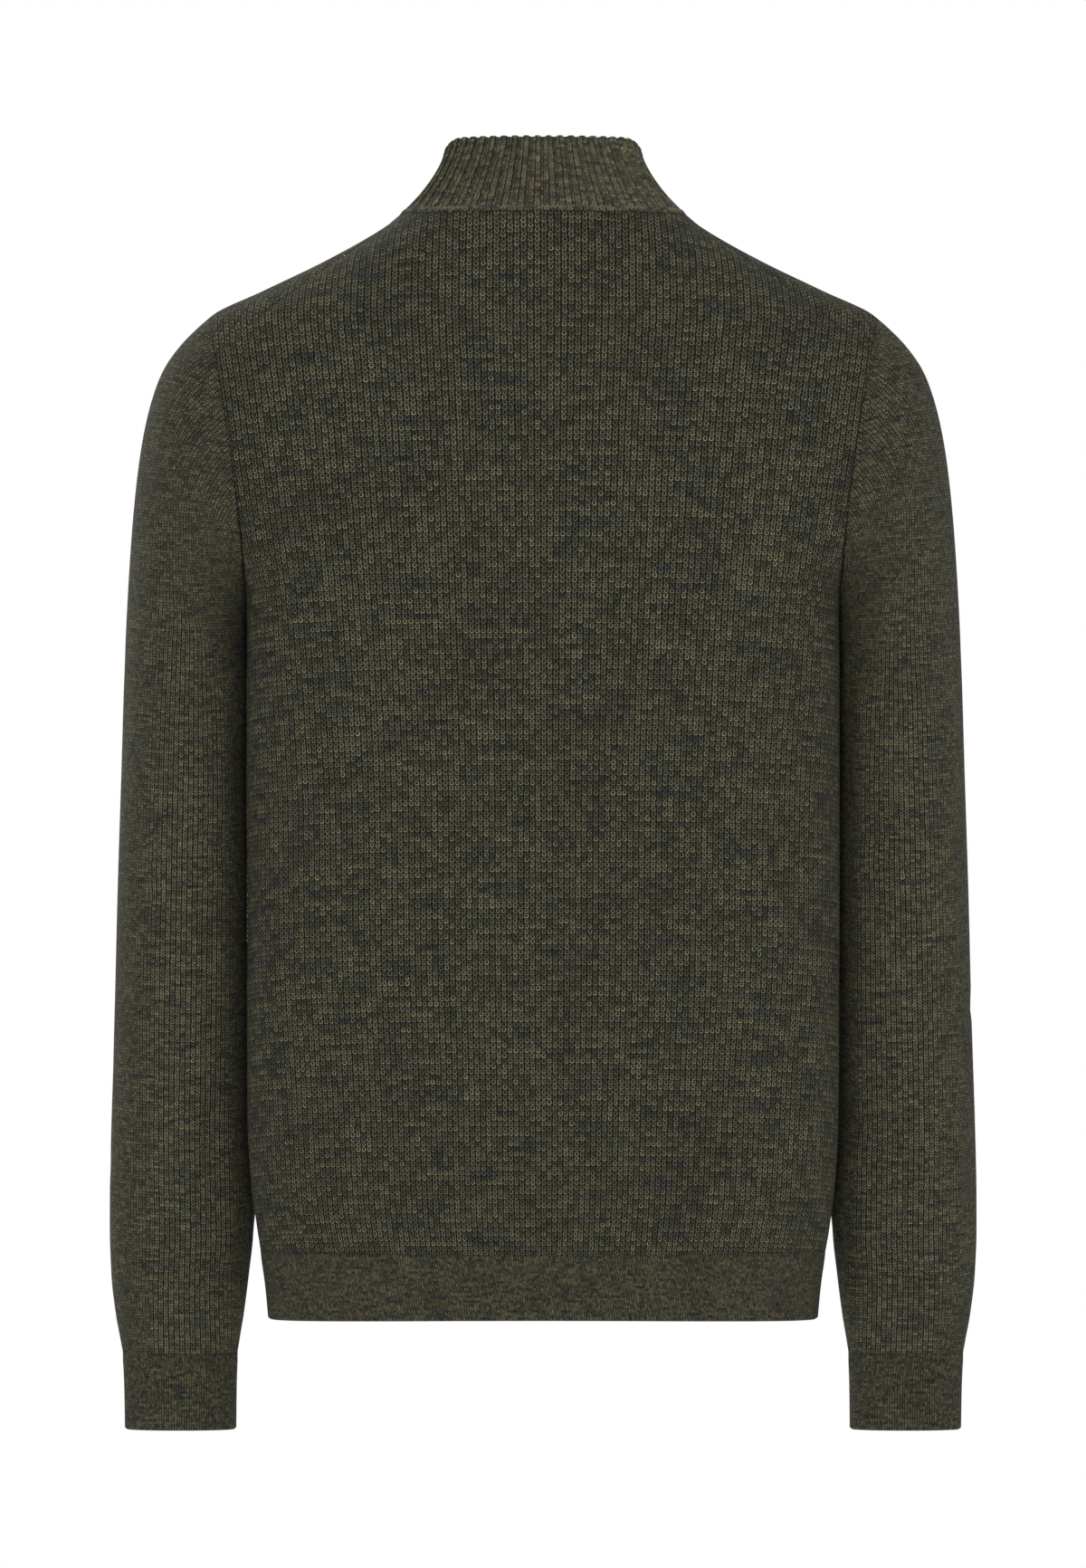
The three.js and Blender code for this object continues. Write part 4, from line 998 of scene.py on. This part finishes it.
def softened(node, width, body=GARMENT):
    """Bevels the sharp edges of a casting's copy by a width in millimetres."""
    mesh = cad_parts[node].data.copy()
    mesh.name = node + "_cast"
    made = bmesh.new()
    made.from_mesh(mesh)
    bmesh.ops.remove_doubles(made, verts=made.verts[:], dist=1e-6)
    bmesh.ops.dissolve_limit(made, angle_limit=FLAT, verts=made.verts[:], edges=made.edges[:])
    sharp = [e for e in made.edges if len(e.link_faces) == 2 and e.calc_face_angle(0) > SHARP]
    bmesh.ops.bevel(made, geom=sharp, offset=width * MM, segments=3, profile=0.5,
                    affect="EDGES", clamp_overlap=True)
    made.to_mesh(mesh)
    made.free()
    mesh.materials.clear()
    piece = finished(mesh.name, mesh, slider_metal, body)
    shading = piece.modifiers.new("even_shading", "WEIGHTED_NORMAL")
    shading.keep_sharp = True
    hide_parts(node)


softened("zip_slider", 0.28)
softened("zip_pull", 0.3, PULL_TAB)
softened("zip_box", 0.4)
softened("zip_stop_left", 0.3)
softened("zip_stop_right", 0.3)

# %% [markdown]
# ## Stage, light and camera
# The cardigan is shown on nobody, level with the eye and squarely from behind. A long lens from
# far away keeps its two sides even. The light is a bright, even studio with three soft lamps: a
# key up on the viewer's right, which draws out the stitches, a fill beside the camera, which
# reaches between the sleeves and the body, and one for the front. The floor lies far enough
# below the hem to be outside the picture.

# %% Floor, lights and camera
scene = bpy.context.scene
floor_mesh = bpy.data.meshes.new("studio_floor")
made = bmesh.new()
bmesh.ops.create_circle(made, cap_ends=True, radius=1.6, segments=96)
made.to_mesh(floor_mesh)
made.free()
floor = in_scene("studio_floor", floor_mesh)
floor.location = (0, 0, -1.3)
floor_paint, add = new_material("matt_pale_floor")
speck = add("TexNoise", {"Vector": add("TexCoord", out=3), "Scale": 40, "Detail": 3})
pale = add("Mix", {0: speck, 6: paint("#e9e9e7"), 7: paint("#f2f2f0")}, **COLOURS)
add("OutputMaterial", {"Surface": add("BsdfPrincipled", {"Base Color": pale, "Roughness": 0.8})})
floor_mesh.materials.append(floor_paint)

world = bpy.data.worlds.new("studio")
scene.world = world
world.use_nodes = True
background = world.node_tree.nodes["Background"].inputs
background["Color"].default_value, background["Strength"].default_value = (1, 1, 1, 1), 1.0


def soft_lamp(name, place, aim, size, power):
    light = bpy.data.lights.new(name, "AREA")
    light.shape, light.size, light.energy = "SQUARE", size, power
    lamp = in_scene(name, light)
    lamp.location = place
    lamp.rotation_euler = (Vector(aim) - Vector(place)).to_track_quat("-Z", "Y").to_euler()


VIEW_HEIGHT, LENS, PICTURE_HEIGHT = -0.353, 300, 0.970  # metres, millimetres, metres
MIDDLE_DEPTH = 0.012  # the part of the back that is at its true size, behind the middle
soft_lamp("key_lamp", (-2.2, 2.6, 1.9), (0, 0, -0.3), 1.6, 30)
soft_lamp("fill_lamp", (0.2, 3.6, -0.1), (0, 0, -0.35), 1.2, 70)
soft_lamp("front_lamp", (1.9, -2.8, 1.6), (0, 0, -0.3), 1.8, 90)
lens = bpy.data.cameras.new("studio_camera")
camera = in_scene("studio_camera", lens)
lens.lens = LENS
camera_away = PICTURE_HEIGHT * LENS / lens.sensor_width
camera.location = (0, camera_away + MIDDLE_DEPTH, VIEW_HEIGHT)
camera.rotation_euler = (math.radians(90), 0, math.radians(180))
lens.clip_end = 40
scene.camera = camera
scene.view_settings.view_transform = "Standard"
print("camera stands", round(camera_away, 2), "m away")
